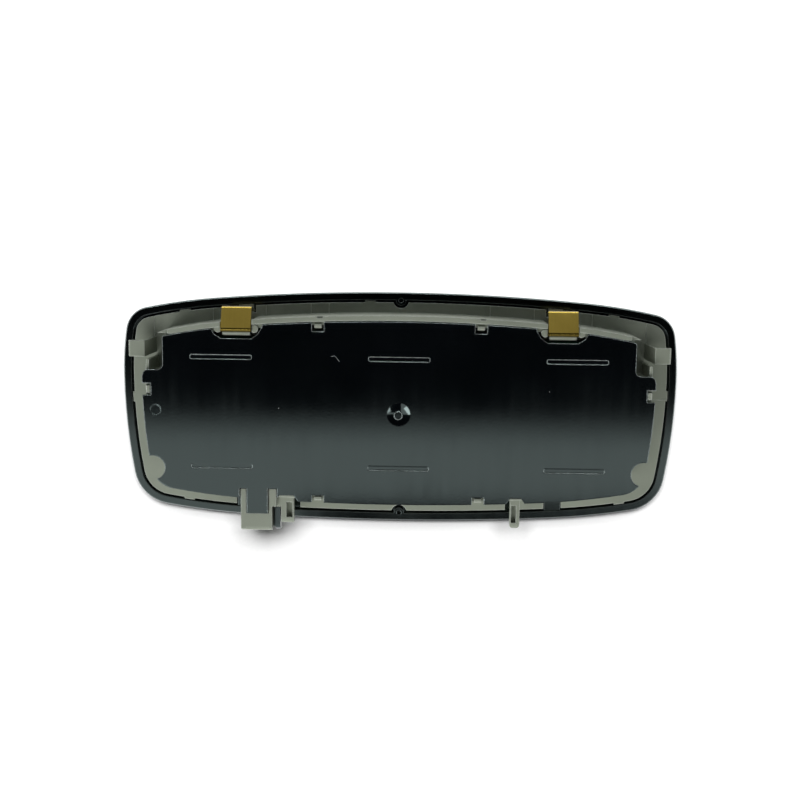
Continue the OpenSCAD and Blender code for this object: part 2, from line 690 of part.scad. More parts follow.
// Back wall, cheeks and round bosses that hold a clip
module clip_pocket() {
    corner_box([-pocket_half - 0.6, pocket_y - pocket_wall, 0], [pocket_half + 0.6, pocket_y, cheek_z]);
    corner_box([-clip_w / 2 + 0.5, pocket_y - pocket_wall, 0], [clip_w / 2 - 0.5, pocket_y, body_depth - 1.2]);
    for (s = [-1, 1]) {
        corner_box([s * pocket_half - 0.7, pocket_y - 0.5, 0], [s * pocket_half + 0.7, tub_top - 2, cheek_z]);
        translate([s * (pocket_half + 0.3), pocket_y + 1.3, 0]) cylinder(r = boss_r, h = body_depth - 0.9, $fn = 32);
    }
}

// Catches that snap into the cover's windows
module catches() {
    for (s = [-1, 1]) {
        translate([s * window_x, catch_y_above, 0]) catch_block(0);
        translate([s * window_x, tub_bottom + catch_t / 2 + 0.1, 0]) catch_block(180);
        translate([s * (tub_half - catch_t / 2 - 0.1), window_y, 0]) catch_block(s > 0 ? 270 : 90);
    }
}

// One catch: an upright block with a sloped head
module catch_block(turn) {
    rotate(turn) rotate([90, 0, 90]) translate([0, 0, -catch_w / 2]) linear_extrude(catch_w) polygon([
        [-catch_t / 2, wall_z - 3], [catch_t / 2, wall_z - 3], [catch_t / 2, catch_top - 0.7],
        [catch_t / 2 - 0.5, catch_top], [-catch_t / 2 + 0.2, catch_top], [-catch_t / 2 - 0.3, catch_top - 0.8],
        [-catch_t / 2 - 0.3, catch_top - 1.3], [-catch_t / 2, catch_top - 1.3]]);
}

// The two stepped arms that lie over the bezel's rim, each with a foot that leans towards the clip side
module arms() {
    for (s = [-1, 1]) intersection() {
        translate([0, arm_y + arm_w / 2 + arm_lean, 0]) rotate([90, 0, 0]) linear_extrude(arm_w + arm_lean) polygon([
            [s * arm_reach, arm_z - arm_t], [s * arm_reach, arm_z - 0.5], [s * (arm_reach - 0.5), arm_z],
            [s * arm_bend_x, arm_z], [s * arm_foot_x, floor_z - 0.5], [s * (arm_foot_x + 2.2), floor_z - 0.5],
            [s * (arm_bend_x + 0.9), arm_z - arm_t]]);
        linear_extrude(body_depth) polygon([
            [s * arm_reach, arm_y - arm_w / 2], [s * arm_reach, arm_y + arm_w / 2],
            [s * arm_bend_x, arm_y + arm_w / 2], [s * arm_foot_x, arm_y + arm_w / 2 + arm_lean],
            [s * arm_foot_x, arm_y - arm_w / 2 + arm_lean], [s * arm_bend_x, arm_y - arm_w / 2]]);
    }
}

// Side walls of the socket inside the tub
module socket_shell() {
    corner_box([socket_left - socket_wall, tub_bottom, socket_z - socket_floor_t],
               [socket_left, socket_top_y, socket_top]);
    corner_box([socket_right, tub_bottom, socket_z - socket_floor_t],
               [socket_right + thick_side, socket_top_y, socket_top]);
}

// Way of the header's side rail through the tub's wall
module rail_space() {
    corner_box([rail_x - 0.3, -half_h, rail_z - 0.3], [rail_x + rail_w + 0.2, socket_top_y + 3, rail_z + rail_t + 0.3]);
}

module socket() {
    difference() {
        union() {
            socket_walls(socket_top);
            // Bridge over the rail, from the socket's side wall to the pocket hook
            corner_box([socket_right + thick_side - 0.5, tub_bottom - rail_cover, rail_z + rail_t + fit],
                       [pocket_hook_x - pocket_hook_w / 2 + 0.5, tub_bottom + 1, hook_z]);
        }
        rail_space();
        translate([socket_left - socket_wall, -socket_reach, 0]) corner_cut(1, body_depth);
    }
}

// Floor, side walls and rear bar of the socket, up to a given height
module socket_walls(top) {
    // Floor of the socket
    corner_box([socket_left - socket_wall, -socket_reach + 0.8, socket_z - socket_floor_t],
               [socket_right + thick_side, socket_root_y, socket_z]);
    // Left side wall
    corner_box([socket_left - socket_wall, -socket_reach + 0.8, socket_z - 0.5], [socket_left, socket_top_y, top]);
    // Right side wall, thinner towards the mouth
    corner_box([socket_right, -socket_reach + 0.8, socket_z - 0.5], [socket_right + thin_side, socket_root_y, top]);
    corner_box([socket_right, tub_bottom - 2.6, socket_z - 0.5], [socket_right + thick_side, socket_top_y, top]);
    // Rear bar that turns down at the mouth
    translate([socket_left - socket_wall, 0, 0]) rotate([90, 0, 90])
        linear_extrude(socket_w + socket_wall + thin_side) polygon(concat(
            [[socket_bar_y, top - bar_t], [socket_bar_y, top]], nose_points(top, socket_reach, bar_nose_r),
            [[-socket_reach, top - bar_nose_r - 0.3], [-socket_reach + 1.2, top - bar_nose_r - 0.3],
             [-socket_reach + 2, top - bar_t]]));
}

// Points of the round nose of the socket's bar, the rail and the hooks, in Y and Z
function nose_points(top, reach, r) = [for (a = [0:15:90]) [-reach + r - r * sin(a), top - r + r * cos(a)]];

// Narrow hook and pocket hook that slip behind the headliner's edge
module hooks() {
    hook_profile(hook_x - hook_w / 2, hook_w, hook_reach, hook_z, hook_w / 2 - 0.1);
    hook_profile(pocket_hook_x - pocket_hook_w / 2, pocket_hook_w, pocket_hook_reach, hook_z, 0.5);
}

// One hook: a bar with a round nose, and a pocket sunk in its left or right half
module hook_profile(x, w, reach, top, tip_r) {
    pocket_side = x > 0 ? 0.5 : w - 2.8;
    pocket_w = x > 0 ? 1.9 : 2.4;
    difference() {
        translate([x, 0, 0]) rotate([90, 0, 90]) linear_extrude(w) polygon(concat(
            [[tub_bottom + hook_root, top - hook_t], [tub_bottom + hook_root, top - 1.2],
             [tub_bottom + hook_root - 0.9, top]],
            nose_points(top, reach, hook_nose_r),
            [[-reach, top - hook_t - 0.8], [-reach + 1.6, top - hook_t]]));
        corner_box([x + pocket_side, -reach + 2.6, top - 2.4], [x + pocket_side + pocket_w, tub_bottom - 1.2, top + 1]);
        for (i = [0, 1]) translate([x + i * w, -reach, 0]) rotate(i * 90) corner_cut(tip_r, top);
    }
}

// Cuts one upright corner of a hook's tip to a radius
module corner_cut(r, top) {
    difference() {
        corner_box([-1, -1, 0], [r, r, top + 1]);
        translate([r, r, -1]) cylinder(r = r, h = top + 3, $fn = 32);
    }
}

module carrier_housing() {
    color("#7f8d80") {
        flange();
        tub();
        catches();
        arms();
        socket();
        hooks();
    }
}

// Rear cover

module rear_cover() {
    color("#0b0d0f") difference() {
        union() {
            plate(cover_line, 0, wall_z, body_depth);
            // Tongue that closes the back of the socket
            corner_box([socket_left + 0.35, socket_bar_y + 0.2, wall_z],
                       [socket_right - 0.35, cover_bottom + 3, body_depth]);
            // Gate ring in the dish
            translate([0, 0, body_depth - dish_depth]) gate_ring();
            // Ribs under the cover that centre it in the tub
            for (s = [-1, 1]) {
                corner_box([s * 15 - 5, tub_bottom + wall_t + fit, wall_z - 2.4],
                           [s * 15 + 5, tub_bottom + wall_t + fit + 1.2, wall_z + 0.2]);
                corner_box([s * 15 - 5, tub_top - wall_t - lip_ledge - fit - 1.2, wall_z - 2.4],
                           [s * 15 + 5, tub_top - wall_t - lip_ledge - fit, wall_z + 0.2]);
                corner_box([s * (tub_half - wall_t - fit - 1.4) - 0.6, -6, wall_z - 2.4],
                           [s * (tub_half - wall_t - fit - 1.4) + 0.6, 1, wall_z + 0.2]);
            }
        }
        translate([0, 0, body_depth + dish_sphere - dish_depth]) difference() {
            sphere(r = dish_sphere, $fn = 96);
            translate([0, 0, -dish_sphere]) gate_ring_space();
        }
        for (i = [-1:1]) for (y = [cover_bottom + groove_edge, cover_top - groove_edge])
            translate([i * (cover_half - groove_in), y, 0])
                round_box(groove_len, groove_w, groove_w / 3, body_depth - groove_d, body_depth + 1);
        translate([5 - cover_half, 0.5, body_depth - 0.15]) cylinder(r = 2.0, h = 1, $fn = 32);
        for (s = [-1, 1]) {
            // Snap windows
            corner_box([s * window_x - window_w / 2, cover_top - window_d, wall_z - 3],
                       [s * window_x + window_w / 2, cover_top + 2, body_depth + 1]);
            corner_box([s * window_x - window_w / 2, cover_bottom - 2, wall_z - 3],
                       [s * window_x + window_w / 2, cover_bottom + window_d - 0.8, body_depth + 1]);
            corner_box([s > 0 ? cover_half - window_end_d : -cover_half - 2, window_y - window_w / 2, wall_z - 3],
                       [s > 0 ? cover_half + 2 : -cover_half + window_end_d, window_y + window_w / 2, body_depth + 1]);
            // Niches with their round inner corners
            cover_niche(s);
            // Notches round the clips
            translate([s * clip_x, 0, wall_z - 3]) linear_extrude(cover_t + 5) polygon([
                [-clip_w / 2 - 0.1, pocket_y - pocket_wall - 1.1], [clip_w / 2 + 0.1, pocket_y - pocket_wall - 1.1],
                [clip_w / 2 + 2.7, pocket_y - 0.6], [clip_w / 2 + 4.4, pocket_y + 2.2],
                [clip_w / 2 + 4.4, half_h], [-clip_w / 2 - 4.4, half_h],
                [-clip_w / 2 - 4.4, pocket_y + 2.2], [-clip_w / 2 - 2.7, pocket_y - 0.6]]);
            // Scallops at the corners on the hook side
            translate([s * scallop_x, scallop_y, wall_z - 3]) cylinder(r = scallop_r, h = cover_t + 5, $fn = 64);
            corner_box([s > 0 ? scallop_x : -half_w, scallop_y - scallop_r, wall_z - 3],
                       [s > 0 ? half_w : -scallop_x, scallop_y + scallop_r, body_depth + 1]);
        }
        // Slots for the socket's side walls and notches behind the hooks
        corner_box([socket_left - socket_wall - 0.4, -half_h, wall_z - 3],
                   [socket_left + 0.35, socket_top_y + 0.4, body_depth + 1]);
        corner_box([socket_right - 0.35, -half_h, wall_z - 3],
                   [socket_right + thick_side + 0.4, socket_top_y + 0.4, body_depth + 1]);
        hook_notch(pocket_hook_x, pocket_hook_w);
        hook_notch(hook_x, hook_w);
    }
}

// Ring left by the gate, inside the dish
module gate_ring() {
    difference() {
        translate([-0.2, -0.5, -0.3]) cylinder(r = 1.6, h = 0.75, $fn = 32);
        translate([-0.2, -0.5, -1]) cylinder(r = 0.55, h = 3, $fn = 24);
    }
}

// Space of the gate ring that the dish leaves standing
module gate_ring_space() {
    translate([-0.2, -0.5, -1]) cylinder(r = 1.6, h = 1.45, $fn = 32);
}

// The cut corner of the cover beside a niche, with its three round corners
module cover_niche(s) {
    r = 2.2;
    mirror([s > 0 ? 0 : 1, 0, 0]) {
        corner_box([niche_x, niche_y + r, wall_z - 3], [half_w, half_h, body_depth + 1]);
        corner_box([niche_x + r, niche_y, wall_z - 3], [half_w, half_h, body_depth + 1]);
        translate([niche_x + r, niche_y + r, wall_z - 3]) cylinder(r = r, h = cover_t + 5, $fn = 40);
        translate([cover_half - r - 0.2, niche_y - r, wall_z - 3]) difference() {
            cube([2 * r, 2 * r, cover_t + 5]);
            translate([0, 0, -1]) cylinder(r = r, h = cover_t + 8, $fn = 40);
        }
        translate([niche_x - r, upper_corner_y - r, wall_z - 3]) difference() {
            cube([r + 1, 2 * r + 2, cover_t + 5]);
            translate([0, 0, -1]) cylinder(r = r, h = cover_t + 8, $fn = 40);
        }
    }
}

// Notch in the cover's edge behind a hook
module hook_notch(x, w) {
    translate([x, 0, wall_z - 3]) linear_extrude(cover_t + 5) polygon([
        [-w / 2 - 0.3, tub_bottom + 2.1], [w / 2 + 0.3, tub_bottom + 2.1], [w / 2 + 1.9, cover_bottom + 0.8],
        [w / 2 + 1.9, -half_h], [-w / 2 - 1.9, -half_h], [-w / 2 - 1.9, cover_bottom + 0.8]]);
}

// Spring clips

// Sheet bent along a path in Y and Z, with the middle of the sheet on the path
function sheet_side(path, t, side) = [for (i = [0:len(path) - 1])
    let (a = path[max(i - 1, 0)], b = path[min(i + 1, len(path) - 1)], d = (b - a) / norm(b - a))
    path[i] + side * t / 2 * [-d[1], d[0]]];
function sheet_outline(path, t) =
    let (right = sheet_side(path, t, -1))
    concat(sheet_side(path, t, 1), [for (i = [len(path) - 1:-1:0]) right[i]]);

// Points of a bend from one heading to another, round a centre
function bend(c, r, a0, a1, n = 8) = [for (k = [0:n]) let (a = a0 + (a1 - a0) * k / n) c + r * [cos(a), sin(a)]];

module spring_clip(s) {
    top_c = [clip_leg_y + bend_r, clip_top_z - bend_r - clip_t / 2];
    nose_c = [clip_nose_y - nose_bend_r - clip_t / 2, clip_nose_z];
    nose = bend(nose_c, nose_bend_r, 90 - clip_slope, -nose_lean);
    path = concat([[clip_leg_y, floor_z + 1.2]], bend(top_c, bend_r, 180, 90 - clip_slope), nose,
                  [nose[len(nose) - 1] - nose_leg * [sin(nose_lean), cos(nose_lean)]]);
    color("#8a7636") translate([s * clip_x - clip_w / 2, 0, 0]) {
        difference() {
            rotate([90, 0, 90]) linear_extrude(clip_w) polygon(sheet_outline(path, clip_t));
            // Window of the lance in the inner leg
            corner_box([clip_w / 2 - 1.2, clip_leg_y - 1, wall_z - 6], [clip_w / 2 + 1.2, clip_leg_y + 0.6, wall_z - 1]);
        }
        corner_box([clip_w / 2 - 0.8, pocket_y + 0.05, wall_z - 5.5], [clip_w / 2 + 0.8, clip_leg_y, wall_z - 0.5]);
    }
}

// Light box and reflectors

module dome_light_box() {
    w = dome_w + 2 * lens_ledge - 1;
    h = dome_h + 2 * lens_ledge - 1;
    r = dome_r + lens_ledge - 0.5;
    color("#f2f2ee") translate([0, dome_y, 0]) difference() {
        hull() {
            translate([0, 0, ledge_z + seat]) linear_extrude(1) rounded_rect(w, h, r);
            translate([0, 0, board_z - seat - 1]) linear_extrude(1) rounded_rect(w - 2 * box_taper, h - 2 * box_taper, r);
        }
        hull() {
            translate([0, 0, ledge_z - 1]) linear_extrude(2) rounded_rect(w - 3, h - 3, r - 1.5);
            translate([0, 0, board_z - box_floor_t - 1]) linear_extrude(1)
                rounded_rect(w - 2 * box_taper - 3, h - 2 * box_taper - 3, r - 1.5);
        }
        for (p = dome_led_places) translate([p[0], p[1], board_z - 3]) cylinder(r = led_r, h = 6, $fn = 40);
    }
}

// A cup whose bowl follows a parabola from the board to the lens
module reading_reflector(s) {
    front = ledge_z + seat;
    back = board_z - seat;
    wall = 1.1;
    mouth = reading_r - 0.6;
    eye = 3.4;
    function bowl(k) = eye + (mouth - eye) * sqrt(k);
    color("#c9ccd0") translate([s * reading_x, reading_y, 0]) rotate_extrude($fn = 96) polygon(concat(
        [for (k = [0:0.1:1]) [bowl(k), back - (back - front) * k]],
        [[reading_r + lens_ledge - 0.1, front], [reading_r + lens_ledge - 0.1, front + 0.9]],
        [for (k = [0.9:-0.1:0]) [bowl(k) + wall, back - (back - front) * k]]));
}

// Circuit board and what it carries

module circuit_board() {
    color("#1f5a38") difference() {
        intersection() {
            plate(tub_line, board_edge, board_z, board_back);
            corner_box([-half_w, -half_h, 0], [half_w, board_top_y, body_depth]);
        }
        for (s = [-1, 1]) {
            corner_box([s > 0 ? niche_x - niche_edge - niche_wall_t - 0.6 : -half_w,
                        niche_y - niche_edge - niche_wall_t - 0.6, 0],
                       [s > 0 ? half_w : -niche_x + niche_edge + niche_wall_t + 0.6, half_h, body_depth]);
            translate([s * scallop_x, scallop_y, 0])
                cylinder(r = scallop_r + scallop_gap + wall_t + 0.6, h = body_depth, $fn = 64);
        }
        for (p = post_places) translate([p[0], p[1], 0]) cylinder(r = screw_r + 0.25, h = body_depth, $fn = 32);
        corner_box([socket_left - socket_wall - 0.5, -half_h, 0],
                   [socket_right + thick_side + 0.5, socket_top_y + 0.5, body_depth]);
    }
}

module dome_leds() {
    color("#f6e27a") for (p = dome_led_places) translate([p[0], p[1] + dome_y, 0])
        led_package(3.0, 0.9);
}

module reading_leds() {
    color("#f6e27a") for (s = [-1, 1]) translate([s * reading_x, reading_y, 0]) led_package(3.6, 1.2);
}

module button_leds() {
    color("#f3f3f3") for (i = [-1:1]) translate([i * button_pitch + 6.5, button_y, 0]) led_package(1.8, 0.8);
}

// A square package with a round window, on the board's front face
module led_package(w, h) {
    difference() {
        corner_box([-w / 2, -w / 2, board_z - seat - h], [w / 2, w / 2, board_z - seat]);
        translate([0, 0, board_z - seat - h - 0.01]) cylinder(r = w * 0.36, h = 0.25, $fn = 24);
    }
}

module connector_header() {
    color("#1b1c1e") difference() {
        union() {
            corner_box([socket_left + 0.2, tub_bottom + 1, socket_z + 0.2],
                       [socket_right - 0.2, header_y + 4, socket_z + socket_h - 0.2]);
            corner_box([socket_left + 0.2, header_y, board_back + seat],
                       [socket_right - 0.2, header_y + 5.2, socket_z + socket_h - 1]);
            header_rail();
        }
        corner_box([socket_left, tub_bottom, 0], [socket_right, header_y - 0.02, board_back - 1.6]);
        corner_box([socket_left, header_y - 0.1, 0], [socket_right, header_y + 6, board_back + seat]);
        for (i = [0:pin_count - 1]) corner_box(
            [pin_x(i) - pin_w / 2, tub_bottom, pin_z - pin_w / 2], [pin_x(i) + pin_w / 2, header_y + 6, pin_z + pin_w / 2]);
        for (i = [0:pin_count - 1]) corner_box(
            [pin_x(i) - pin_w / 2, header_y + 3.2, 0], [pin_x(i) + pin_w / 2, header_y + 3.2 + pin_w, pin_z]);
    }
}
function pin_x(i) = socket_x + (i - (pin_count - 1) / 2) * pin_pitch;

// Keying rail that runs from the header through the tub's wall, along the outside of the socket
module header_rail() {
    corner_box([socket_right - 1, header_y + 1, rail_z], [rail_x + rail_w, header_y + 4, rail_z + rail_t]);
    rail_out_y = tub_bottom - rail_cover - fit;
    corner_box([rail_x, rail_out_y - 0.1, rail_z], [rail_x + rail_w, header_y + 4, rail_z + rail_t]);
    translate([rail_x, 0, 0]) rotate([90, 0, 90]) linear_extrude(rail_w) polygon(concat(
        [[rail_out_y, rail_z], [rail_out_y, body_depth - 3]],
        nose_points(body_depth - 3, socket_reach, hook_nose_r), [[-socket_reach, rail_z]]));
    // Web of the rail towards the socket's side wall
    corner_box([socket_right + thin_side + 0.1, -socket_reach + 0.5, rail_z],
               [rail_x + 0.5, rail_out_y, rail_z + 1.2]);
}

module connector_pins() {
    slack = 0.02;
    w = pin_w - 2 * slack;
    color("#d8c58a") for (i = [0:pin_count - 1]) {
        corner_box([pin_x(i) - w / 2, tub_bottom - pin_out, pin_z - w / 2],
                   [pin_x(i) + w / 2, header_y + 3.2 + pin_w - slack, pin_z + w / 2]);
        corner_box([pin_x(i) - w / 2, header_y + 3.2 + slack, board_back + seat],
                   [pin_x(i) + w / 2, header_y + 3.2 + pin_w - slack, pin_z]);
    }
}

module driver_chips() {
    color("#202225") for (i = [0, 4]) translate(part_place(i)) {
        corner_box([-chip_l / 2, -chip_w / 2, 0.15], [chip_l / 2, chip_w / 2, chip_t]);
        for (k = [-1.5:1:1.5]) for (j = [-1, 1])
            corner_box([k * lead_pitch - 0.2, j * (chip_w / 2 + 0.6) - 0.7, 0],
                       [k * lead_pitch + 0.2, j * (chip_w / 2 + 0.6) + 0.7, 0.3]);
    }
}

module capacitors() {
    color("#9aa0a6") for (i = [1, 2]) translate(part_place(i)) {
        corner_box([-capacitor_w / 2, -capacitor_w / 2, 0], [capacitor_w / 2, capacitor_w / 2, 0.8]);
        cylinder(r = capacitor_r, h = wall_z - board_back - 0.6, $fn = 40);
    }
}

module choke_coil() {
    color("#3b3d40") translate(part_place(3)) difference() {
        round_box(coil_w, coil_w, 1.6, 0, coil_t);
        translate([0, 0, coil_t - 0.8]) cylinder(r = coil_well_r, h = 2, $fn = 40);
    }
}

module power_diodes() {
    color("#222326") for (i = [5, 6]) translate(part_place(i)) {
        corner_box([-diode_w / 2, -diode_l / 2, 0.1], [diode_w / 2, diode_l / 2, diode_t]);
        corner_box([-0.8, -diode_l / 2 - 0.5, 0], [0.8, diode_l / 2 + 0.5, 0.4]);
    }
}

module board_screws() {
    color("#b9bcc0") for (p = post_places) translate([p[0], p[1], board_back + seat]) difference() {
        union() {
            translate([0, 0, -screw_len]) cylinder(r = screw_r, h = screw_len + 0.5, $fn = 32);
            cylinder(r = screw_head_r, h = 1.1, $fn = 40);
            translate([0, 0, 1.1]) cylinder(r1 = screw_head_r, r2 = screw_head_r * 0.7, h = 0.5, $fn = 40);
        }
        for (a = [0, 90]) rotate(a) corner_box([-1.4, -0.28, 0.8], [1.4, 0.28, 2]);
    }
}

// Puts a piece in the frame whose origin is the middle of the whole box, which the socket's mouth sets
module at_box() {
    translate([0, socket_out / 2, 0]) children();
}

at_box() front_bezel();
at_box() dome_lens();
at_box() reading_lens(-1);  // reading_lens_left
at_box() reading_lens(1);  // reading_lens_right
at_box() button(-1);  // button_left
at_box() button(0);  // button_centre
at_box() button(1);  // button_right
at_box() switch_plunger(-1);  // switch_plunger_left
at_box() switch_plunger(0);  // switch_plunger_centre
at_box() switch_plunger(1);  // switch_plunger_right
at_box() carrier_housing();
at_box() rear_cover();
at_box() spring_clip(-1);  // spring_clip_left
at_box() spring_clip(1);  // spring_clip_right
at_box() dome_light_box();
at_box() reading_reflector(-1);  // reading_reflector_left
at_box() reading_reflector(1);  // reading_reflector_right
at_box() circuit_board();
at_box() dome_leds();
at_box() reading_leds();
at_box() button_leds();
at_box() switch_bodies();
at_box() connector_header();
at_box() connector_pins();
at_box() driver_chips();
at_box() capacitors();
at_box() choke_coil();
at_box() power_diodes();
at_box() board_screws();
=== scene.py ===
"""Car dome light lying on its front face, dressed and lit for a view of its back.

Every piece stands in the shared frame: metres, X along the lamp, Y towards the spring clips and
Z from the front face to the rear cover.
"""
import json
import logging
import math
from dataclasses import dataclass, field
from enum import Enum

import bmesh
import bpy
from mathutils import Matrix, Vector
from mathutils.bvhtree import BVHTree


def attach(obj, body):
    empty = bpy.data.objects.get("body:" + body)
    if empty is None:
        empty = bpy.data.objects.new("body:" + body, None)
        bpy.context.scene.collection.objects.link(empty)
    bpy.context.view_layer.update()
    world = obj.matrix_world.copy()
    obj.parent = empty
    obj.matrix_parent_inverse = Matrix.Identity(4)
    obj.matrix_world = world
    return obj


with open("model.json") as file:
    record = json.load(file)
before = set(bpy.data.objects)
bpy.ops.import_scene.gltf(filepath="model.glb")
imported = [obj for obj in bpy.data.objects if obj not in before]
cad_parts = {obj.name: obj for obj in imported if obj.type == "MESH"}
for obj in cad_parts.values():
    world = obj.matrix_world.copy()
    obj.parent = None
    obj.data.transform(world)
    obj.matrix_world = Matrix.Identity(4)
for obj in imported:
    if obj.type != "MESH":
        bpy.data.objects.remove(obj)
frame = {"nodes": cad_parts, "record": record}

LOG = logging.getLogger("dome_light")
MM = 0.001

Colour = tuple[float, float, float]
Point = tuple[float, float, float]
Value = object  # a node socket, a number, a colour or a point

# Layout of the node trees
NODE_STEP = 180

# Depth of the bump and weights of the effects in a finish
BUMP_DEPTH = 0.1 * MM
ROUGH_LOW, ROUGH_HIGH = 0.88, 1.12
FLOW_ROUGHNESS = 0.5
SPECK_ROUGHNESS = 0.4
STREAK_SHARE = 0.5
CLOUD_SIZE = 42.0
LINE_SHARE = 0.35
SPECK_EDGE = (0.03, 0.07)

# Lighter outer edges, wear and a painted highlight: how far an edge turns, how open it is, and the
# patches it comes in
EDGE_TURN = (0.99, 0.84)
EDGE_ROOM = 0.8 * MM
EDGE_OPEN = (0.7, 0.95)
WEAR_AND_SHEEN_SIZE = 420.0
WEAR_AND_SHEEN_PATCHES = (0.35, 0.6)
WEAR_AND_SHEEN_SHARES = (0.55, 1.0)

# Start of a probe in metres, play of a level in millimetres, and the cross-section of a bead
PROBE_FROM = 0.1
LEVEL_PLAY = 0.05
BEAD_PROFILE = ((-0.5, -0.25), (-0.36, 0.6), (0.0, 1.0), (0.36, 0.6), (0.5, -0.25))

# Studio colours, and the sharp side of a card's edge in metres
CARD_BLACK = (0.001, 0.001, 0.001, 1.0)
CARD_EDGE = 0.001
WHITE = (1.0, 1.0, 1.0, 1.0)


class Nodes:
    """Adds nodes to one node tree and links them, with plain values set on free sockets."""

    def __init__(self, tree: bpy.types.NodeTree) -> None:
        """Keeps the tree and starts the row of nodes at its left end.

        Args:
            tree: The material's or the group's node tree.
        """
        self.tree = tree
        self.place = 0

    def add(self, kind: str, **settings: object) -> bpy.types.Node:
        """Adds one node.

        Args:
            kind: Blender's name of the node type.
            **settings: Attributes to set on the node.

        Returns:
            The new node.
        """
        node = self.tree.nodes.new(kind)
        node.location = (self.place * NODE_STEP, 0)
        self.place += 1
        for name, value in settings.items():
            setattr(node, name, value)
        return node

    def put(self, value: Value, socket: bpy.types.NodeSocket) -> None:
        """Links a socket to the given one, or sets the given one to a plain value.

        Args:
            value: A socket or a plain value.
            socket: The input that takes it.
        """
        if isinstance(value, bpy.types.NodeSocket):
            self.tree.links.new(value, socket)
        else:
            socket.default_value = value

    def math(self, operation: str, a: Value, b: Value = 0.0,
             clamp: bool = False) -> bpy.types.NodeSocket:
        """Does one sum on one or two values.

        Args:
            operation: Blender's name of the sum.
            a: The first value.
            b: The second value.
            clamp: Whether the result is held between 0 and 1.

        Returns:
            The result.
        """
        node = self.add("ShaderNodeMath", operation=operation, use_clamp=clamp)
        self.put(a, node.inputs[0])
        self.put(b, node.inputs[1])
        return node.outputs[0]

    def object_point(self) -> bpy.types.NodeSocket:
        """Reads the point of the surface.

        Returns:
            The point in the shared frame, in metres.
        """
        return self.add("ShaderNodeTexCoord").outputs["Object"]

    def scaled(self, point: Value, scale: Point) -> bpy.types.NodeSocket:
        """Scales a point by its own factor along each axis.

        Args:
            point: The point.
            scale: The three factors.

        Returns:
            The scaled point.
        """
        node = self.add("ShaderNodeMapping")
        self.put(point, node.inputs["Vector"])
        node.inputs["Scale"].default_value = scale
        return node.outputs["Vector"]

    def noise(self, point: Value, scale: Value, detail: float = 2.0) -> bpy.types.NodeSocket:
        """Adds a noise.

        Args:
            point: Where it is read.
            scale: Its fineness, in waves a metre.
            detail: How many finer layers it has.

        Returns:
            The noise, between 0 and 1.
        """
        node = self.add("ShaderNodeTexNoise")
        self.put(point, node.inputs["Vector"])
        self.put(scale, node.inputs["Scale"])
        node.inputs["Detail"].default_value = detail
        return node.outputs["Fac"]

    def span(self, value: Value, low: Value, high: Value, to_low: Value = 0.0,
             to_high: Value = 1.0) -> bpy.types.NodeSocket:
        """Maps a value from one span to another, clamped at both ends.

        Args:
            value: The value.
            low: Start of its span.
            high: End of its span.
            to_low: Start of the new span.
            to_high: End of the new span.

        Returns:
            The mapped value.
        """
        node = self.add("ShaderNodeMapRange")
        for socket, item in zip(node.inputs, (value, low, high, to_low, to_high)):
            self.put(item, socket)
        return node.outputs["Result"]

    def blend(self, share: Value, first: Value, second: Value) -> bpy.types.NodeSocket:
        """Mixes two colours.

        Args:
            share: Share of the second colour.
            first: The first colour.
            second: The second colour.

        Returns:
            The mixed colour.
        """
        node = self.add("ShaderNodeMix", data_type="RGBA")
        self.put(share, node.inputs["Factor"])
        self.put(first, node.inputs["A"])
        self.put(second, node.inputs["B"])
        return node.outputs["Result"]


class Effect(Enum):
    """Names of the shader groups that more than one finish uses."""

    GRAIN = "moulded_grain"
    FLOW = "flow_lines"
    STREAK = "drawn_streaks"
    SPECKS = "dust_specks"


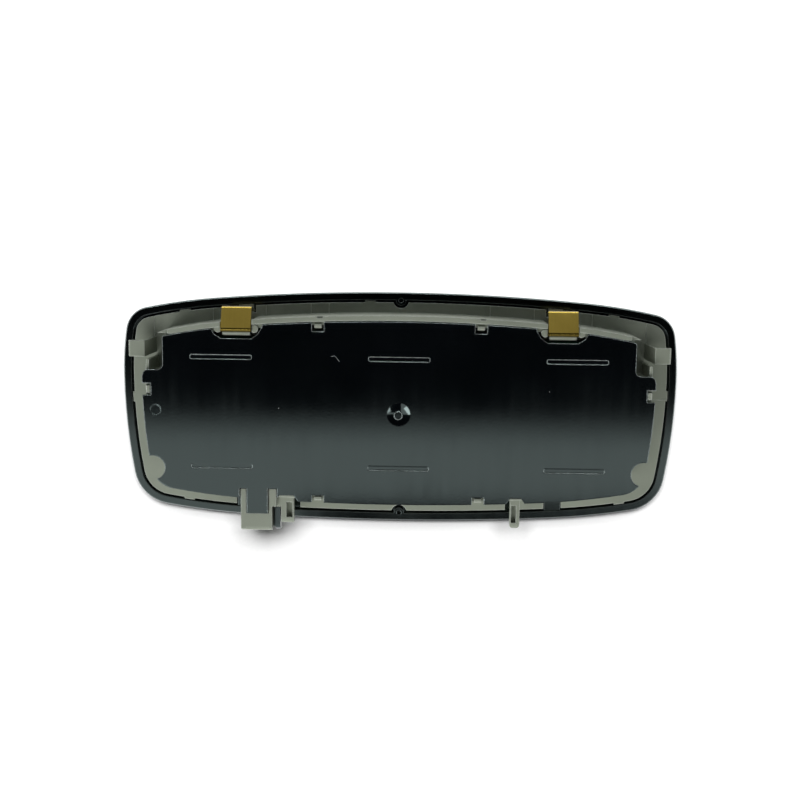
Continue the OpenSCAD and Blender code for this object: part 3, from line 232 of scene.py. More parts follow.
@dataclass
class Effects:
    """The shared shader groups, each built once."""

    trees: dict[Effect, bpy.types.NodeTree] = field(default_factory=dict)

    def open(self, effect: Effect, inputs: dict[str, float],
             outputs: tuple[str, ...]) -> tuple[Nodes, bpy.types.Node, bpy.types.Node]:
        """Makes an empty shader group with named float inputs and outputs.

        Args:
            effect: The effect that the group is for.
            inputs: Default value of each input, by name.
            outputs: Names of the outputs.

        Returns:
            The group's node builder, its input node and its output node.
        """
        tree = bpy.data.node_groups.new(effect.value, "ShaderNodeTree")
        for label, value in inputs.items():
            socket = tree.interface.new_socket(name=label, in_out="INPUT",
                                               socket_type="NodeSocketFloat")
            socket.default_value = value
        for label in outputs:
            tree.interface.new_socket(name=label, in_out="OUTPUT", socket_type="NodeSocketFloat")
        self.trees[effect] = tree
        nodes = Nodes(tree)
        return nodes, nodes.add("NodeGroupInput"), nodes.add("NodeGroupOutput")

    def build(self) -> None:
        """Builds all the groups."""
        self.grain()
        self.flow()
        self.streak()
        self.specks()

    def grain(self) -> None:
        """Fine moulded grain: small bumps and a slow change of shade."""
        n, given, result = self.open(Effect.GRAIN, {"Size": 1400.0, "Mottle Size": 60.0},
                                     ("Height", "Shade"))
        point = n.object_point()
        n.put(n.noise(point, given.outputs["Size"], detail=3.0), result.inputs["Height"])
        slow = n.noise(point, given.outputs["Mottle Size"], detail=4.0)
        n.put(n.span(slow, 0.3, 0.7), result.inputs["Shade"])

    def flow(self) -> None:
        """Faint long waves in a moulded face, drawn out across the lamp, with soft clouds."""
        n, given, result = self.open(Effect.FLOW, {"Across": 260.0, "Along": 18.0},
                                     ("Height", "Shade"))
        point = n.object_point()
        parts = n.add("ShaderNodeSeparateXYZ")
        n.put(point, parts.inputs[0])
        drawn = n.add("ShaderNodeCombineXYZ")
        n.put(n.math("MULTIPLY", parts.outputs[0], given.outputs["Across"]), drawn.inputs[0])
        n.put(n.math("MULTIPLY", parts.outputs[1], given.outputs["Along"]), drawn.inputs[1])
        lines = n.noise(drawn.outputs[0], 1.0, detail=3.0)
        clouds = n.noise(point, CLOUD_SIZE, detail=5.0)
        n.put(n.math("ADD", n.math("MULTIPLY", lines, LINE_SHARE), clouds), result.inputs["Height"])
        n.put(n.math("MULTIPLY", n.span(lines, 0.32, 0.68), n.span(clouds, 0.3, 0.7)),
              result.inputs["Shade"])

    def streak(self) -> None:
        """Long fine streaks across the lamp, as on drawn sheet."""
        n, given, result = self.open(Effect.STREAK, {"Across": 3200.0, "Along": 60.0},
                                     ("Height", "Shade"))
        parts = n.add("ShaderNodeSeparateXYZ")
        n.put(n.object_point(), parts.inputs[0])
        drawn = n.add("ShaderNodeCombineXYZ")
        n.put(n.math("MULTIPLY", parts.outputs[0], given.outputs["Across"]), drawn.inputs[0])
        n.put(n.math("MULTIPLY", parts.outputs[1], given.outputs["Along"]), drawn.inputs[1])
        n.put(n.math("MULTIPLY", parts.outputs[2], given.outputs["Along"]), drawn.inputs[2])
        line = n.noise(drawn.outputs[0], 1.0, detail=3.0)
        n.put(line, result.inputs["Height"])
        n.put(n.span(line, 0.35, 0.65), result.inputs["Shade"])

    def specks(self) -> None:
        """Scattered small specks of dust."""
        n, given, result = self.open(Effect.SPECKS, {"Size": 260.0, "Share": 0.02}, ("Mask",))
        cells = n.add("ShaderNodeTexVoronoi", feature="F1")
        n.put(n.object_point(), cells.inputs["Vector"])
        n.put(given.outputs["Size"], cells.inputs["Scale"])
        chance = n.add("ShaderNodeSeparateColor")
        n.put(cells.outputs["Color"], chance.inputs[0])
        chosen = n.math("LESS_THAN", chance.outputs[0], given.outputs["Share"])
        dot = n.span(cells.outputs["Distance"], *SPECK_EDGE, 1.0, 0.0)
        n.put(n.math("MULTIPLY", chosen, dot), result.inputs["Mask"])


@dataclass(frozen=True)
class Finish:
    """One finish: its plain values and how much of each shared effect it takes."""

    name: str
    colour: Colour
    second: Colour
    roughness: float
    metallic: float = 0.0
    specular: float = 0.5
    tint: Colour = (1.0, 1.0, 1.0)
    transmission: float = 0.0
    grain: float = 0.1
    grain_size: float = 1400.0
    mottle_size: float = 60.0
    flow: float = 0.0
    streak: float = 0.0
    specks: float = 0.0
    speck_colour: Colour = (0.30, 0.31, 0.30)
    rounding: float = 0.0
    # Lighter outer edges, in this colour and to this share: wear and a painted highlight
    wear_and_sheen_colour: Colour = (0.5, 0.5, 0.5)
    wear_and_sheen: float = 0.0

    def build(self, effects: Effects) -> bpy.types.Material:
        """Builds the material.

        Args:
            effects: The shared shader groups.

        Returns:
            The new material.
        """
        material = bpy.data.materials.new(self.name)
        material.use_nodes = True
        material.node_tree.nodes.clear()
        n = Nodes(material.node_tree)
        shader = self.shader(n)
        height, colour, rough = self.surface(n, effects)
        bump = n.add("ShaderNodeBump")
        bump.inputs["Strength"].default_value = 1.0
        bump.inputs["Distance"].default_value = BUMP_DEPTH
        n.put(height, bump.inputs["Height"])
        if self.rounding:
            edge = n.add("ShaderNodeBevel", samples=6)
            edge.inputs["Radius"].default_value = self.rounding * MM
            n.put(edge.outputs[0], bump.inputs["Normal"])
            colour = self.paint_edge_sheen(n, edge.outputs[0], colour)
        n.put(bump.outputs[0], shader.inputs["Normal"])
        n.put(colour, shader.inputs["Base Color"])
        n.put(rough, shader.inputs["Roughness"])
        return material

    def shader(self, n: Nodes) -> bpy.types.Node:
        """Adds the shader with the values that are the same all over.

        Args:
            n: The material's node builder.

        Returns:
            The shader's node.
        """
        shader = n.add("ShaderNodeBsdfPrincipled")
        output = n.add("ShaderNodeOutputMaterial")
        n.put(shader.outputs[0], output.inputs["Surface"])
        shader.inputs["Metallic"].default_value = self.metallic
        shader.inputs["Specular IOR Level"].default_value = self.specular
        shader.inputs["Specular Tint"].default_value = (*self.tint, 1.0)
        shader.inputs["Transmission Weight"].default_value = self.transmission
        return shader

    def surface(self, n: Nodes, effects: Effects) -> tuple[Value, Value, Value]:
        """Adds the effects that change over the surface.

        Args:
            n: The material's node builder.
            effects: The shared shader groups.

        Returns:
            The height for the bump, the colour and the roughness.
        """
        grain = n.add("ShaderNodeGroup", node_tree=effects.trees[Effect.GRAIN])
        grain.inputs["Size"].default_value = self.grain_size
        grain.inputs["Mottle Size"].default_value = self.mottle_size
        height = n.math("MULTIPLY", grain.outputs["Height"], self.grain)
        colour = n.blend(grain.outputs["Shade"], (*self.colour, 1.0), (*self.second, 1.0))
        rough = n.span(grain.outputs["Shade"], 0.0, 1.0, self.roughness * ROUGH_LOW,
                       min(1.0, self.roughness * ROUGH_HIGH))
        if self.flow:
            flow = n.add("ShaderNodeGroup", node_tree=effects.trees[Effect.FLOW])
            height = n.math("ADD", height, n.math("MULTIPLY", flow.outputs["Height"], self.flow))
            rough = n.math("ADD", rough,
                           n.math("MULTIPLY", flow.outputs["Shade"],
                                  self.roughness * FLOW_ROUGHNESS))
        if self.streak:
            streak = n.add("ShaderNodeGroup", node_tree=effects.trees[Effect.STREAK])
            height = n.math("ADD", height,
                            n.math("MULTIPLY", streak.outputs["Height"], self.streak))
            colour = n.blend(n.math("MULTIPLY", streak.outputs["Shade"], STREAK_SHARE), colour,
                             (*self.second, 1.0))
        if self.specks:
            specks = n.add("ShaderNodeGroup", node_tree=effects.trees[Effect.SPECKS])
            specks.inputs["Share"].default_value = self.specks
            colour = n.blend(specks.outputs["Mask"], colour, (*self.speck_colour, 1.0))
            rough = n.math("ADD", rough,
                           n.math("MULTIPLY", specks.outputs["Mask"], SPECK_ROUGHNESS), clamp=True)
        return height, colour, rough

    def paint_edge_sheen(self, n: Nodes, edge: bpy.types.NodeSocket, colour: Value) -> Value:
        """Lightens the colour along sharp edges, unevenly: wear and a painted highlight.

        Args:
            n: The material's node builder.
            edge: The rounded normal.
            colour: The colour away from the edges.

        Returns:
            The colour with its lightened edges.
        """
        if not self.wear_and_sheen:
            return colour
        # Painted highlight and wear: a lighter colour blended in along the outer edges
        return n.blend(self.wear_and_sheen_share(n, edge), colour, (*self.wear_and_sheen_colour, 1.0))

    def wear_and_sheen_share(self, n: Nodes, edge: bpy.types.NodeSocket) -> Value:
        """Returns the share of the lighter edge colour, wear and a painted highlight: along outer
        edges only, and unevenly.

        Args:
            n: The material's node builder.
            edge: The rounded normal.

        Returns:
            The share of the lighter edge colour, from 0 to 1.
        """
        turned = n.add("ShaderNodeVectorMath", operation="DOT_PRODUCT")
        n.put(edge, turned.inputs[0])
        n.put(n.add("ShaderNodeNewGeometry").outputs["Normal"], turned.inputs[1])
        bent = n.span(turned.outputs["Value"], *EDGE_TURN)
        room = n.add("ShaderNodeAmbientOcclusion", samples=4, only_local=True)
        room.inputs["Distance"].default_value = EDGE_ROOM
        outer = n.span(room.outputs["AO"], *EDGE_OPEN)
        patches = n.noise(n.object_point(), WEAR_AND_SHEEN_SIZE, detail=3.0)
        uneven = n.span(patches, *WEAR_AND_SHEEN_PATCHES, *WEAR_AND_SHEEN_SHARES)
        return n.math("MULTIPLY", n.math("MULTIPLY", bent, outer),
                      n.math("MULTIPLY", uneven, self.wear_and_sheen))


@dataclass(frozen=True)
class CoverFinish(Finish):
    """Black gloss with lighter edges, wear and a painted highlight, kept on the clip side and on
    edges turned towards the clips, and not round the dimple.
    """

    dimple: Point = (-93.5, 1.0, 22.0)
    dimple_r: float = 3.0
    # Painted highlight on the edges: kept above this place across the lamp, and on edges turned
    # this far towards the clips
    sheen_y: tuple[float, float] = (-12.0, -5.0)
    sheen_turned_y: tuple[float, float] = (-0.3, 0.0)

    def wear_and_sheen_share(self, n: Nodes, edge: bpy.types.NodeSocket) -> Value:
        """Returns the share of the lighter edge colour, a painted highlight, without the hook side
        and the dimple.

        Args:
            n: The material's node builder.
            edge: The rounded normal.

        Returns:
            The share of the lighter edge colour, from 0 to 1.
        """
        point = n.object_point()
        share = super().wear_and_sheen_share(n, edge)
        away = n.add("ShaderNodeVectorMath", operation="DISTANCE")
        n.put(point, away.inputs[0])
        away.inputs[1].default_value = [value * MM for value in self.dimple]
        clear = n.math("GREATER_THAN", away.outputs["Value"], self.dimple_r * MM)
        place = n.add("ShaderNodeSeparateXYZ")
        n.put(point, place.inputs[0])
        # Painted highlight: the lighter edges stay on the clip side and on edges not turned towards
        # the hooks
        clip_half_sheen = n.span(place.outputs[1], self.sheen_y[0] * MM, self.sheen_y[1] * MM)
        turn = n.add("ShaderNodeSeparateXYZ")
        n.put(edge, turn.inputs[0])
        clip_facing_sheen = n.span(turn.outputs[1], *self.sheen_turned_y)
        return n.math("MULTIPLY", n.math("MULTIPLY", share, clear),
                      n.math("MAXIMUM", clip_half_sheen, clip_facing_sheen))


SLATE: Colour = (0.80, 1.0, 0.97)

# Lighter outer edges in these finishes are wear and a painted highlight
FINISHES: dict[str, Finish] = {
    "bezel": Finish("bezel_black", (0.0012, 0.0016, 0.0017), (0.0024, 0.0030, 0.0031), 0.10,
                    specular=0.95, tint=SLATE, grain=0.03, mottle_size=40.0, flow=0.06,
                    specks=0.004, rounding=0.35, wear_and_sheen=0.25),
    "dome_lens": Finish("opal_lens", (0.80, 0.81, 0.78), (0.84, 0.85, 0.82), 0.32, grain=0.06),
    "reading_lens": Finish("clear_lens", (0.86, 0.90, 0.90), (0.90, 0.93, 0.93), 0.12,
                           transmission=0.85, grain=0.04),
    "button": Finish("button_black", (0.016, 0.018, 0.020), (0.022, 0.024, 0.026), 0.38,
                     grain=0.35, rounding=0.3),
    "plunger": Finish("plunger_natural", (0.60, 0.52, 0.34), (0.66, 0.57, 0.38), 0.45),
    "carrier": Finish("carrier_grey_green", (0.190, 0.208, 0.166), (0.222, 0.242, 0.196), 0.40,
                      tint=(0.88, 1.0, 0.92), grain=0.22, mottle_size=35.0, flow=0.10,
                      rounding=0.45, wear_and_sheen=0.9, wear_and_sheen_colour=(0.62, 0.66, 0.60)),
    "cover": CoverFinish("cover_black", (0.0010, 0.0016, 0.0022), (0.0018, 0.0026, 0.0034), 0.07,
                         specular=1.0, tint=SLATE, grain=0.03, mottle_size=22.0, flow=0.12,
                         specks=0.005, rounding=0.5, wear_and_sheen=0.8, wear_and_sheen_colour=(0.50, 0.52, 0.51)),
    "clip": Finish("clip_bronze", (0.125, 0.092, 0.017), (0.170, 0.127, 0.027), 0.19, metallic=1.0,
                   grain=0.06,
                   streak=0.9, rounding=0.12),
    "light_box": Finish("light_box_white", (0.84, 0.84, 0.81), (0.88, 0.88, 0.85), 0.55,
                        grain=0.15),
    "reflector": Finish("reflector_bright", (0.72, 0.74, 0.76), (0.78, 0.80, 0.82), 0.16,
                        metallic=1.0, grain=0.03),
    "board": Finish("board_green", (0.014, 0.085, 0.040), (0.018, 0.105, 0.050), 0.30, grain=0.08),
    "led": Finish("diode_yellow", (0.80, 0.62, 0.14), (0.86, 0.70, 0.20), 0.35, grain=0.05),
    "switch": Finish("switch_black", (0.022, 0.022, 0.024), (0.030, 0.030, 0.032), 0.50, grain=0.2),
    "header": Finish("header_slate", (0.024, 0.030, 0.030), (0.032, 0.040, 0.040), 0.30,
                     tint=SLATE, grain=0.12,
                     rounding=0.2, wear_and_sheen=0.3),
    "pin": Finish("pin_tinned", (0.66, 0.60, 0.42), (0.72, 0.66, 0.48), 0.25, metallic=1.0,
                  grain=0.05),
    "chip": Finish("chip_black", (0.020, 0.020, 0.021), (0.028, 0.028, 0.030), 0.48, grain=0.2),
    "capacitor": Finish("capacitor_bright", (0.60, 0.62, 0.64), (0.66, 0.68, 0.70), 0.28,
                        metallic=1.0, streak=0.2),
    "choke": Finish("choke_grey", (0.060, 0.060, 0.064), (0.075, 0.075, 0.080), 0.5, grain=0.25),
    "screw": Finish("screw_zinc", (0.55, 0.56, 0.58), (0.62, 0.63, 0.65), 0.32, metallic=1.0,
                    grain=0.08),
}


@dataclass
class Workshop:
    """Makes the materials once and puts pieces on the lamp."""

    effects: Effects
    made: dict[str, bpy.types.Material] = field(default_factory=dict)

    def material(self, slot: str) -> bpy.types.Material:
        """Finds the material of a slot, which is built on its first use.

        Args:
            slot: The slot's name.

        Returns:
            The material.
        """
        if slot not in self.made:
            self.made[slot] = FINISHES[slot].build(self.effects)
        return self.made[slot]

    def dress(self, *names: str) -> None:
        """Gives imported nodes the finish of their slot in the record.

        Args:
            *names: The nodes' names.
        """
        slots = {part["node"]: part["material_slot"] for part in frame["record"]["subparts"]}
        for name in names:
            thing = frame["nodes"][name]
            thing.data.materials.clear()
            thing.data.materials.append(self.material(slots[name]))
            LOG.info("%s dressed as %s", name, slots[name])

    def place(self, name: str, mesh: bmesh.types.BMesh, slot: str,
              body: str = "lamp") -> bpy.types.Object:
        """Turns a finished mesh into a piece that rides on a body.

        Args:
            name: The piece's name.
            mesh: Its mesh, which is used up.
            slot: The material slot that it takes its finish from.
            body: The body that carries it.

        Returns:
            The new object.
        """
        bmesh.ops.recalc_face_normals(mesh, faces=mesh.faces)
        data = bpy.data.meshes.new(name)
        mesh.to_mesh(data)
        mesh.free()
        piece = bpy.data.objects.new(name, data)
        bpy.context.scene.collection.objects.link(piece)
        data.materials.append(self.material(slot))
        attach(piece, body)
        LOG.info("%s built with %d faces", name, len(data.polygons))
        return piece


class Surface:
    """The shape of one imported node, for setting small pieces on its faces."""

    def __init__(self, node: str) -> None:
        """Reads the node's mesh.

        Args:
            node: The node's name.
        """
        mesh = frame["nodes"][node].data
        self.tree = BVHTree.FromPolygons([vertex.co.copy() for vertex in mesh.vertices],
                                         [tuple(face.vertices) for face in mesh.polygons])

    def height(self, x: float, y: float) -> float | None:
        """Finds the highest face over a point.

        Args:
            x: The point's place along the lamp, in millimetres.
            y: Its place across the lamp.

        Returns:
            The face's height in millimetres, or None where there is no face.
        """
        hit = self.tree.ray_cast(Vector((x * MM, y * MM, PROBE_FROM)), Vector((0.0, 0.0, -1.0)))
        return None if hit[0] is None else hit[0].z / MM

    def run(self, start: tuple[float, float], end: tuple[float, float], level: float,
            step: float = 0.1) -> list[tuple[float, float]]:
        """Finds the part of a line that lies on a flat face.

        Args:
            start: One end of the line, in millimetres.
            end: The other end.
            level: The face's height.
            step: Distance between two probes.

        Returns:
            The first and last point on that face, or an empty list.
        """
        length = math.dist(start, end)
        count = max(2, round(length / step))
        found = []
        for i in range(count + 1):
            x = start[0] + (end[0] - start[0]) * i / count
            y = start[1] + (end[1] - start[1]) * i / count
            z = self.height(x, y)
            if z is not None and abs(z - level) < LEVEL_PLAY:
                found.append((x, y))
            elif found:
                break
        return [found[0], found[-1]] if len(found) > 2 else []


def bead(mesh: bmesh.types.BMesh, points: list[tuple[float, float]], level: float, width: float,
         height: float) -> None:
    """Adds a low rounded bead along a line on a flat face.

    Args:
        mesh: The mesh to add to.
        points: The line's points, in millimetres.
        level: The face's height.
        width: Width of the bead's foot.
        height: Its height over the face.
    """
    rows = []
    last = len(points) - 1
    for i, (x, y) in enumerate(points):
        before = points[max(i - 1, 0)]
        after = points[min(i + 1, last)]
        along = Vector((after[0] - before[0], after[1] - before[1])).normalized()
        side = Vector((-along.y, along.x)) * width
        rows.append([mesh.verts.new(((x + side.x * a) * MM, (y + side.y * a) * MM,
                                     (level + height * b) * MM))
                     for a, b in BEAD_PROFILE])
    for row, other in zip(rows, rows[1:]):
        for k in range(len(BEAD_PROFILE)):
            j = (k + 1) % len(BEAD_PROFILE)
            mesh.faces.new((row[k], row[j], other[j], other[k]))
    mesh.faces.new(rows[0])
    mesh.faces.new(rows[-1])


@dataclass
class Bezel:
    """Front bezel with its raised rear rim."""

    workshop: Workshop

    def build(self) -> None:
        """Dresses the bezel."""
        self.workshop.dress("front_bezel")


@dataclass
class Carrier:
    """Grey carrier with the parting lines of its mould on the flange."""

    workshop: Workshop
    flange_z: float = 4.6
    line_w: float = 0.28
    line_h: float = 0.10
    line_places: tuple[float, ...] = (-97.5, -74.1, -53.2, -35.5, -28.4, 35.2, 52.6, 75.5, 97.1)
    line_reach: tuple[float, float] = (46.0, 24.0)
    end_line_y: float = 5.3
    end_line_reach: tuple[float, float] = (109.0, 92.0)

    def build(self) -> None:
        """Dresses the carrier and builds its parting lines."""
        self.workshop.dress("carrier_housing")
        self.parting_lines()

    def parting_lines(self) -> None:
        """Builds the fine raised lines across the flange."""
        face = Surface("carrier_housing")
        mesh = bmesh.new()
        outer, inner = self.line_reach
        for x in self.line_places:
            ends = face.run((x, outer), (x, inner), self.flange_z)
            if ends:
                bead(mesh, ends, self.flange_z, self.line_w, self.line_h)
        outer, inner = self.end_line_reach
        ends = face.run((outer, self.end_line_y), (inner, self.end_line_y), self.flange_z)
        if ends:
            bead(mesh, ends, self.flange_z, self.line_w, self.line_h)
        self.workshop.place("carrier_parting_lines", mesh, "carrier")


@dataclass
class RearCover:
    """Glossy rear cover with a small raised nick."""

    workshop: Workshop
    face_z: float = 22.0
    nick: tuple[tuple[float, float], ...] = ((-26.1, 22.5), (-24.7, 22.75), (-24.3, 22.5),
                                             (-22.9, 20.6))
    nick_w: float = 0.22
    nick_h: float = 0.06

    def build(self) -> None:
        """Dresses the cover and builds its nick."""
        self.workshop.dress("rear_cover")
        mesh = bmesh.new()
        bead(mesh, list(self.nick), self.face_z, self.nick_w, self.nick_h)
        self.workshop.place("cover_nick", mesh, "cover")


@dataclass
class SpringClips:
    """Two bent spring clips of bronze-coloured sheet."""

    workshop: Workshop

    def build(self) -> None:
        """Dresses both clips."""
        self.workshop.dress("spring_clip_left", "spring_clip_right")


@dataclass
class Optics:
    """Lenses, reflectors, light box and diodes."""

    workshop: Workshop

    def build(self) -> None:
        """Dresses the optical pieces."""
        self.workshop.dress("dome_lens", "reading_lens_left", "reading_lens_right",
                            "dome_light_box",
                            "reading_reflector_left", "reading_reflector_right", "dome_leds",
                            "reading_leds",
                            "button_leds")


@dataclass
class Buttons:
    """Three push buttons with their plungers."""

    workshop: Workshop
    names: tuple[str, ...] = ("left", "centre", "right")

    def build(self) -> None:
        """Dresses the buttons and plungers."""
        for name in self.names:
            self.workshop.dress(f"button_{name}", f"switch_plunger_{name}")


@dataclass
class Electronics:
    """Circuit board with its parts, and the header in the wiring socket."""

    workshop: Workshop

    def build(self) -> None:
        """Dresses the board and everything on it."""
        self.workshop.dress("circuit_board", "switch_bodies", "connector_header", "connector_pins",
                            "driver_chips",
                            "capacitors", "choke_coil", "power_diodes", "board_screws")


class Reach(Enum):
    """What a lamp lights."""

    LAMP = "all_but_floor"
    FLOOR = "floor_only"


@dataclass(frozen=True)
class SoftBox:
    """One rectangular soft light, sized in metres; white paper has brightness 1."""

    name: str
    place: Point
    size: tuple[float, float]
    brightness: float
    reach: Reach = Reach.LAMP
    mirrored: bool = True
    lights: bool = True
    aim: Point = (0.0, 0.0, 0.01)

    def build(self, linked: dict[Reach, bpy.types.Collection]) -> None:
        """Adds the light.

        Args:
            linked: The collections that each reach is limited to.
        """
        data = bpy.data.lights.new(self.name, "AREA")
        data.shape = "RECTANGLE"
        data.size, data.size_y = self.size
        data.energy = self.brightness * math.pi * self.size[0] * self.size[1]
        light = bpy.data.objects.new(self.name, data)
        bpy.context.scene.collection.objects.link(light)
        light.location = self.place
        light.rotation_euler = (Vector(self.aim) - Vector(self.place)).to_track_quat("-Z",
                                                                                     "Y").to_euler()
        light.visible_camera = False
        light.visible_glossy = self.mirrored
        light.visible_diffuse = self.lights
        light.light_linking.receiver_collection = linked[self.reach]


@dataclass(frozen=True)
class Card:
    """A level black card that only mirrors see, given by two corners in metres."""

    name: str
    low: Point
    high: Point
    fade: float = 0.0

    def build(self) -> None:
        """Hangs the card, with a soft edge on its hook side where it has one."""
        (x0, y0, z), (x1, y1, _) = self.low, self.high
        mesh = bpy.data.meshes.new(self.name)
        mesh.from_pydata([(x0, y0, z), (x1, y0, z), (x1, y1, z), (x0, y1, z)], [], [(0, 1, 2, 3)])
        card = bpy.data.objects.new(self.name, mesh)
        bpy.context.scene.collection.objects.link(card)
        card.visible_camera = False
        card.visible_diffuse = False
        card.visible_shadow = False
        card.visible_transmission = False
        material = bpy.data.materials.new(self.name)
        material.use_nodes = True
        material.node_tree.nodes.clear()
        n = Nodes(material.node_tree)
        output = n.add("ShaderNodeOutputMaterial")
        place = n.add("ShaderNodeSeparateXYZ")
        n.put(n.object_point(), place.inputs[0])
        black = n.add("ShaderNodeBsdfDiffuse")
        black.inputs["Color"].default_value = CARD_BLACK
        choose = n.add("ShaderNodeMixShader")
        n.put(n.span(place.outputs[1], y0 - CARD_EDGE, y0 + self.fade), choose.inputs[0])
        n.put(n.add("ShaderNodeBsdfTransparent").outputs[0], choose.inputs[1])
        n.put(black.outputs[0], choose.inputs[2])
        n.put(choose.outputs[0], output.inputs["Surface"])
        mesh.materials.append(material)


@dataclass
class Studio:
    """Floor, world, lights and camera."""

    distance: float = 450.0
    tilt: float = 8.5
    beside: float = 12.0
    roll: float = 0.88
    target: Point = (0.0, 0.95, 4.0)
    lens: float = 50.6
    sensor: float = 36.0
    clip: tuple[float, float] = (0.01, 50.0)
    shift: tuple[float, float] = (-0.0375, 0.00875)
    floor_half: float = 4.0
    floor_z: float = -0.00005
    fibre_size: float = 900.0
    fibre_span: tuple[float, float] = (0.3, 0.7)
    paper_shades: tuple[float, float] = (0.86, 0.88)
    floor_bounce: float = 0.06
    floor_mirrored: float = 0.85
    # Painted shadow in reflections: on the hook side beyond these spans, mirrors see the floor
    # without its glow
    mirrored_shadow_x: tuple[float, float] = (-0.05, -0.03)
    mirrored_shadow_y: tuple[float, float] = (-0.05, -0.03)
    shadow_room: Point = (0.130, 0.065, 1.0)
    seen_glow: float = 0.95
    glow_span: tuple[float, float] = (1.2, 2.4)
    world_light: float = 0.12
    boxes: tuple[SoftBox, ...] = (
        SoftBox("left_soft", (-0.70, -0.55, 1.0), (0.5, 0.6), 5.0),
        SoftBox("right_soft", (0.70, -0.55, 1.0), (0.5, 0.6), 3.0),
        SoftBox("hook_side_key", (-0.20, -0.80, 0.85), (1.2, 0.5), 5.5, mirrored=False),
        SoftBox("clip_side_strip", (0.0, 1.0, 0.40), (1.6, 0.22), 15.0, lights=False),
        SoftBox("left_strip", (-1.0, 0.1, 0.50), (1.2, 0.22), 6.0, lights=False),
        SoftBox("right_strip", (1.0, 0.1, 0.50), (1.2, 0.22), 6.0, lights=False),
        SoftBox("floor_light", (0.0, 0.52, 1.0), (0.9, 0.5), 15.5, reach=Reach.FLOOR,
                aim=(0.0, 0.52, 0.0)),
    )
    cards: tuple[Card, ...] = (
        Card("overhead_card", (-1.2, -0.192, 1.02), (1.2, 0.62, 1.02), fade=0.04),
        Card("hook_side_card", (-0.16, -3.0, 1.02), (0.42, -0.27, 1.02)),
    )

    def build(self) -> None:
        """Builds the whole studio."""
        floor = self.floor()
        self.world()
        linked = self.link(floor)
        for box in self.boxes:
            box.build(linked)
        for card in self.cards:
            card.build()
        self.camera()

    def floor(self) -> bpy.types.Object:
        """Lays the pale floor, which lets a view from below pass through its back.

        Returns:
            The floor's object.
        """
        mesh = bpy.data.meshes.new("floor")
        half, z = self.floor_half, self.floor_z
        corners = [(-half, -half, z), (half, -half, z), (half, half, z), (-half, half, z)]
        mesh.from_pydata(corners, [], [(0, 1, 2, 3)])
        floor = bpy.data.objects.new("floor", mesh)
        bpy.context.scene.collection.objects.link(floor)
        material = bpy.data.materials.new("floor_pale")
        material.use_nodes = True
        material.node_tree.nodes.clear()
        n = Nodes(material.node_tree)
        output = n.add("ShaderNodeOutputMaterial")
        paper = n.add("ShaderNodeBsdfDiffuse")
        fibres = n.noise(n.object_point(), self.fibre_size, detail=2.0)
        low, high = ((*[grey] * 3, 1.0) for grey in self.paper_shades)
        shade = n.blend(n.span(fibres, *self.fibre_span), low, high)
        n.put(shade, paper.inputs["Color"])
        glow = n.add("ShaderNodeEmission")
        path = n.add("ShaderNodeLightPath")
        mirrored = n.math("MAXIMUM", path.outputs["Is Glossy Ray"],
                          path.outputs["Is Transmission Ray"])
        place = n.add("ShaderNodeSeparateXYZ")
        n.put(n.object_point(), place.inputs[0])
        # Painted shadow in reflections: mirrors lose the floor's glow on the hook side, right of
        # the lamp's left part
        left = n.math("SUBTRACT", 1.0, n.span(place.outputs[0], *self.mirrored_shadow_x))
        pale = n.math("MAXIMUM", left, n.span(place.outputs[1], *self.mirrored_shadow_y))
        mirrored = n.math("MULTIPLY", mirrored, pale)
        away = n.add("ShaderNodeVectorMath", operation="LENGTH")
        n.put(n.scaled(n.object_point(), tuple(1.0 / room for room in self.shadow_room)),
              away.inputs[0])
        seen = n.math("MULTIPLY", path.outputs["Is Camera Ray"],
                      n.span(away.outputs["Value"], *self.glow_span))
        bounced = n.math("MULTIPLY", path.outputs["Is Diffuse Ray"], self.floor_bounce)
        seen = n.math("ADD", n.math("MULTIPLY", seen, self.seen_glow), bounced)
        n.put(n.math("ADD", n.math("MULTIPLY", mirrored, self.floor_mirrored), seen),
              glow.inputs["Strength"])
        both = n.add("ShaderNodeAddShader")
        n.put(paper.outputs[0], both.inputs[0])
        n.put(glow.outputs[0], both.inputs[1])
        choose = n.add("ShaderNodeMixShader")
        n.put(n.add("ShaderNodeNewGeometry").outputs["Backfacing"], choose.inputs[0])
        n.put(both.outputs[0], choose.inputs[1])
        n.put(n.add("ShaderNodeBsdfTransparent").outputs[0], choose.inputs[2])
        n.put(choose.outputs[0], output.inputs["Surface"])
        mesh.materials.append(material)
        return floor

    def link(self, floor: bpy.types.Object) -> dict[Reach, bpy.types.Collection]:
        """Makes the two collections that tell the lights what they reach.

        Args:
            floor: The floor's object.

        Returns:
            The collection of each reach.
        """
        linked = {}
        for reach in Reach:
            group = bpy.data.collections.new(reach.value)
            group.objects.link(floor)
            state = "INCLUDE" if reach is Reach.FLOOR else "EXCLUDE"
            group.collection_objects[0].light_linking.link_state = state
            linked[reach] = group
        return linked

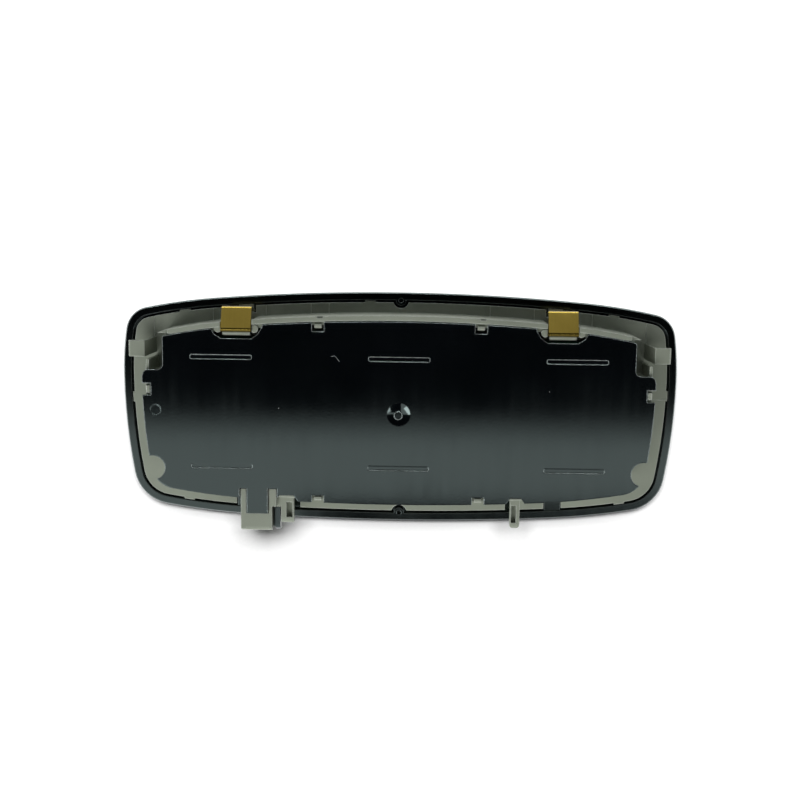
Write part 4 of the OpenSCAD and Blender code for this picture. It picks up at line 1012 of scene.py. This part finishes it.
    def world(self) -> None:
        """Sets a plain world: white where it is seen or mirrored, a soft grey as a light."""
        world = bpy.data.worlds.new("studio")
        bpy.context.scene.world = world
        world.use_nodes = True
        world.node_tree.nodes.clear()
        n = Nodes(world.node_tree)
        output = n.add("ShaderNodeOutputWorld")
        seen = n.add("ShaderNodeBackground")
        seen.inputs["Color"].default_value = WHITE
        light = n.add("ShaderNodeBackground")
        light.inputs["Color"].default_value = WHITE
        light.inputs["Strength"].default_value = self.world_light
        path = n.add("ShaderNodeLightPath")
        mirrored = n.math("MAXIMUM", path.outputs["Is Glossy Ray"],
                          path.outputs["Is Transmission Ray"])
        mix = n.add("ShaderNodeMixShader")
        n.put(n.math("MAXIMUM", path.outputs["Is Camera Ray"], mirrored), mix.inputs[0])
        n.put(light.outputs[0], mix.inputs[1])
        n.put(seen.outputs[0], mix.inputs[2])
        n.put(mix.outputs[0], output.inputs["Surface"])

    def camera(self) -> None:
        """Places the camera at the photograph's angle, distance and roll."""
        data = bpy.data.cameras.new("camera")
        camera = bpy.data.objects.new("camera", data)
        bpy.context.scene.collection.objects.link(camera)
        data.lens = self.lens
        data.sensor_width = self.sensor
        data.sensor_fit = "HORIZONTAL"
        data.clip_start, data.clip_end = self.clip
        data.shift_x, data.shift_y = self.shift
        tilt = math.radians(self.tilt)
        back = Vector((0.0, math.sin(tilt), math.cos(tilt)))
        right = Vector((0.0, 1.0, 0.0)).cross(back).normalized()
        up = back.cross(right)
        place = Vector(self.target) * MM + back * self.distance * MM + right * self.beside * MM
        roll = math.radians(self.roll)
        right, up = (right * math.cos(roll) + up * math.sin(roll),
                     up * math.cos(roll) - right * math.sin(roll))
        camera.matrix_world = Matrix((
            (right.x, up.x, back.x, place.x),
            (right.y, up.y, back.y, place.y),
            (right.z, up.z, back.z, place.z),
            (0.0, 0.0, 0.0, 1.0)))
        bpy.context.scene.camera = camera


def main() -> None:
    """Builds the dressed model and its studio."""
    logging.basicConfig(level=logging.INFO, format="%(message)s")
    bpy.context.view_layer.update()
    bpy.context.scene.view_settings.view_transform = "Standard"
    effects = Effects()
    effects.build()
    workshop = Workshop(effects)
    for assembly in (Bezel, Carrier, RearCover, SpringClips, Optics, Buttons, Electronics):
        assembly(workshop).build()
    Studio().build()


if __name__ == "__main__":
    main()
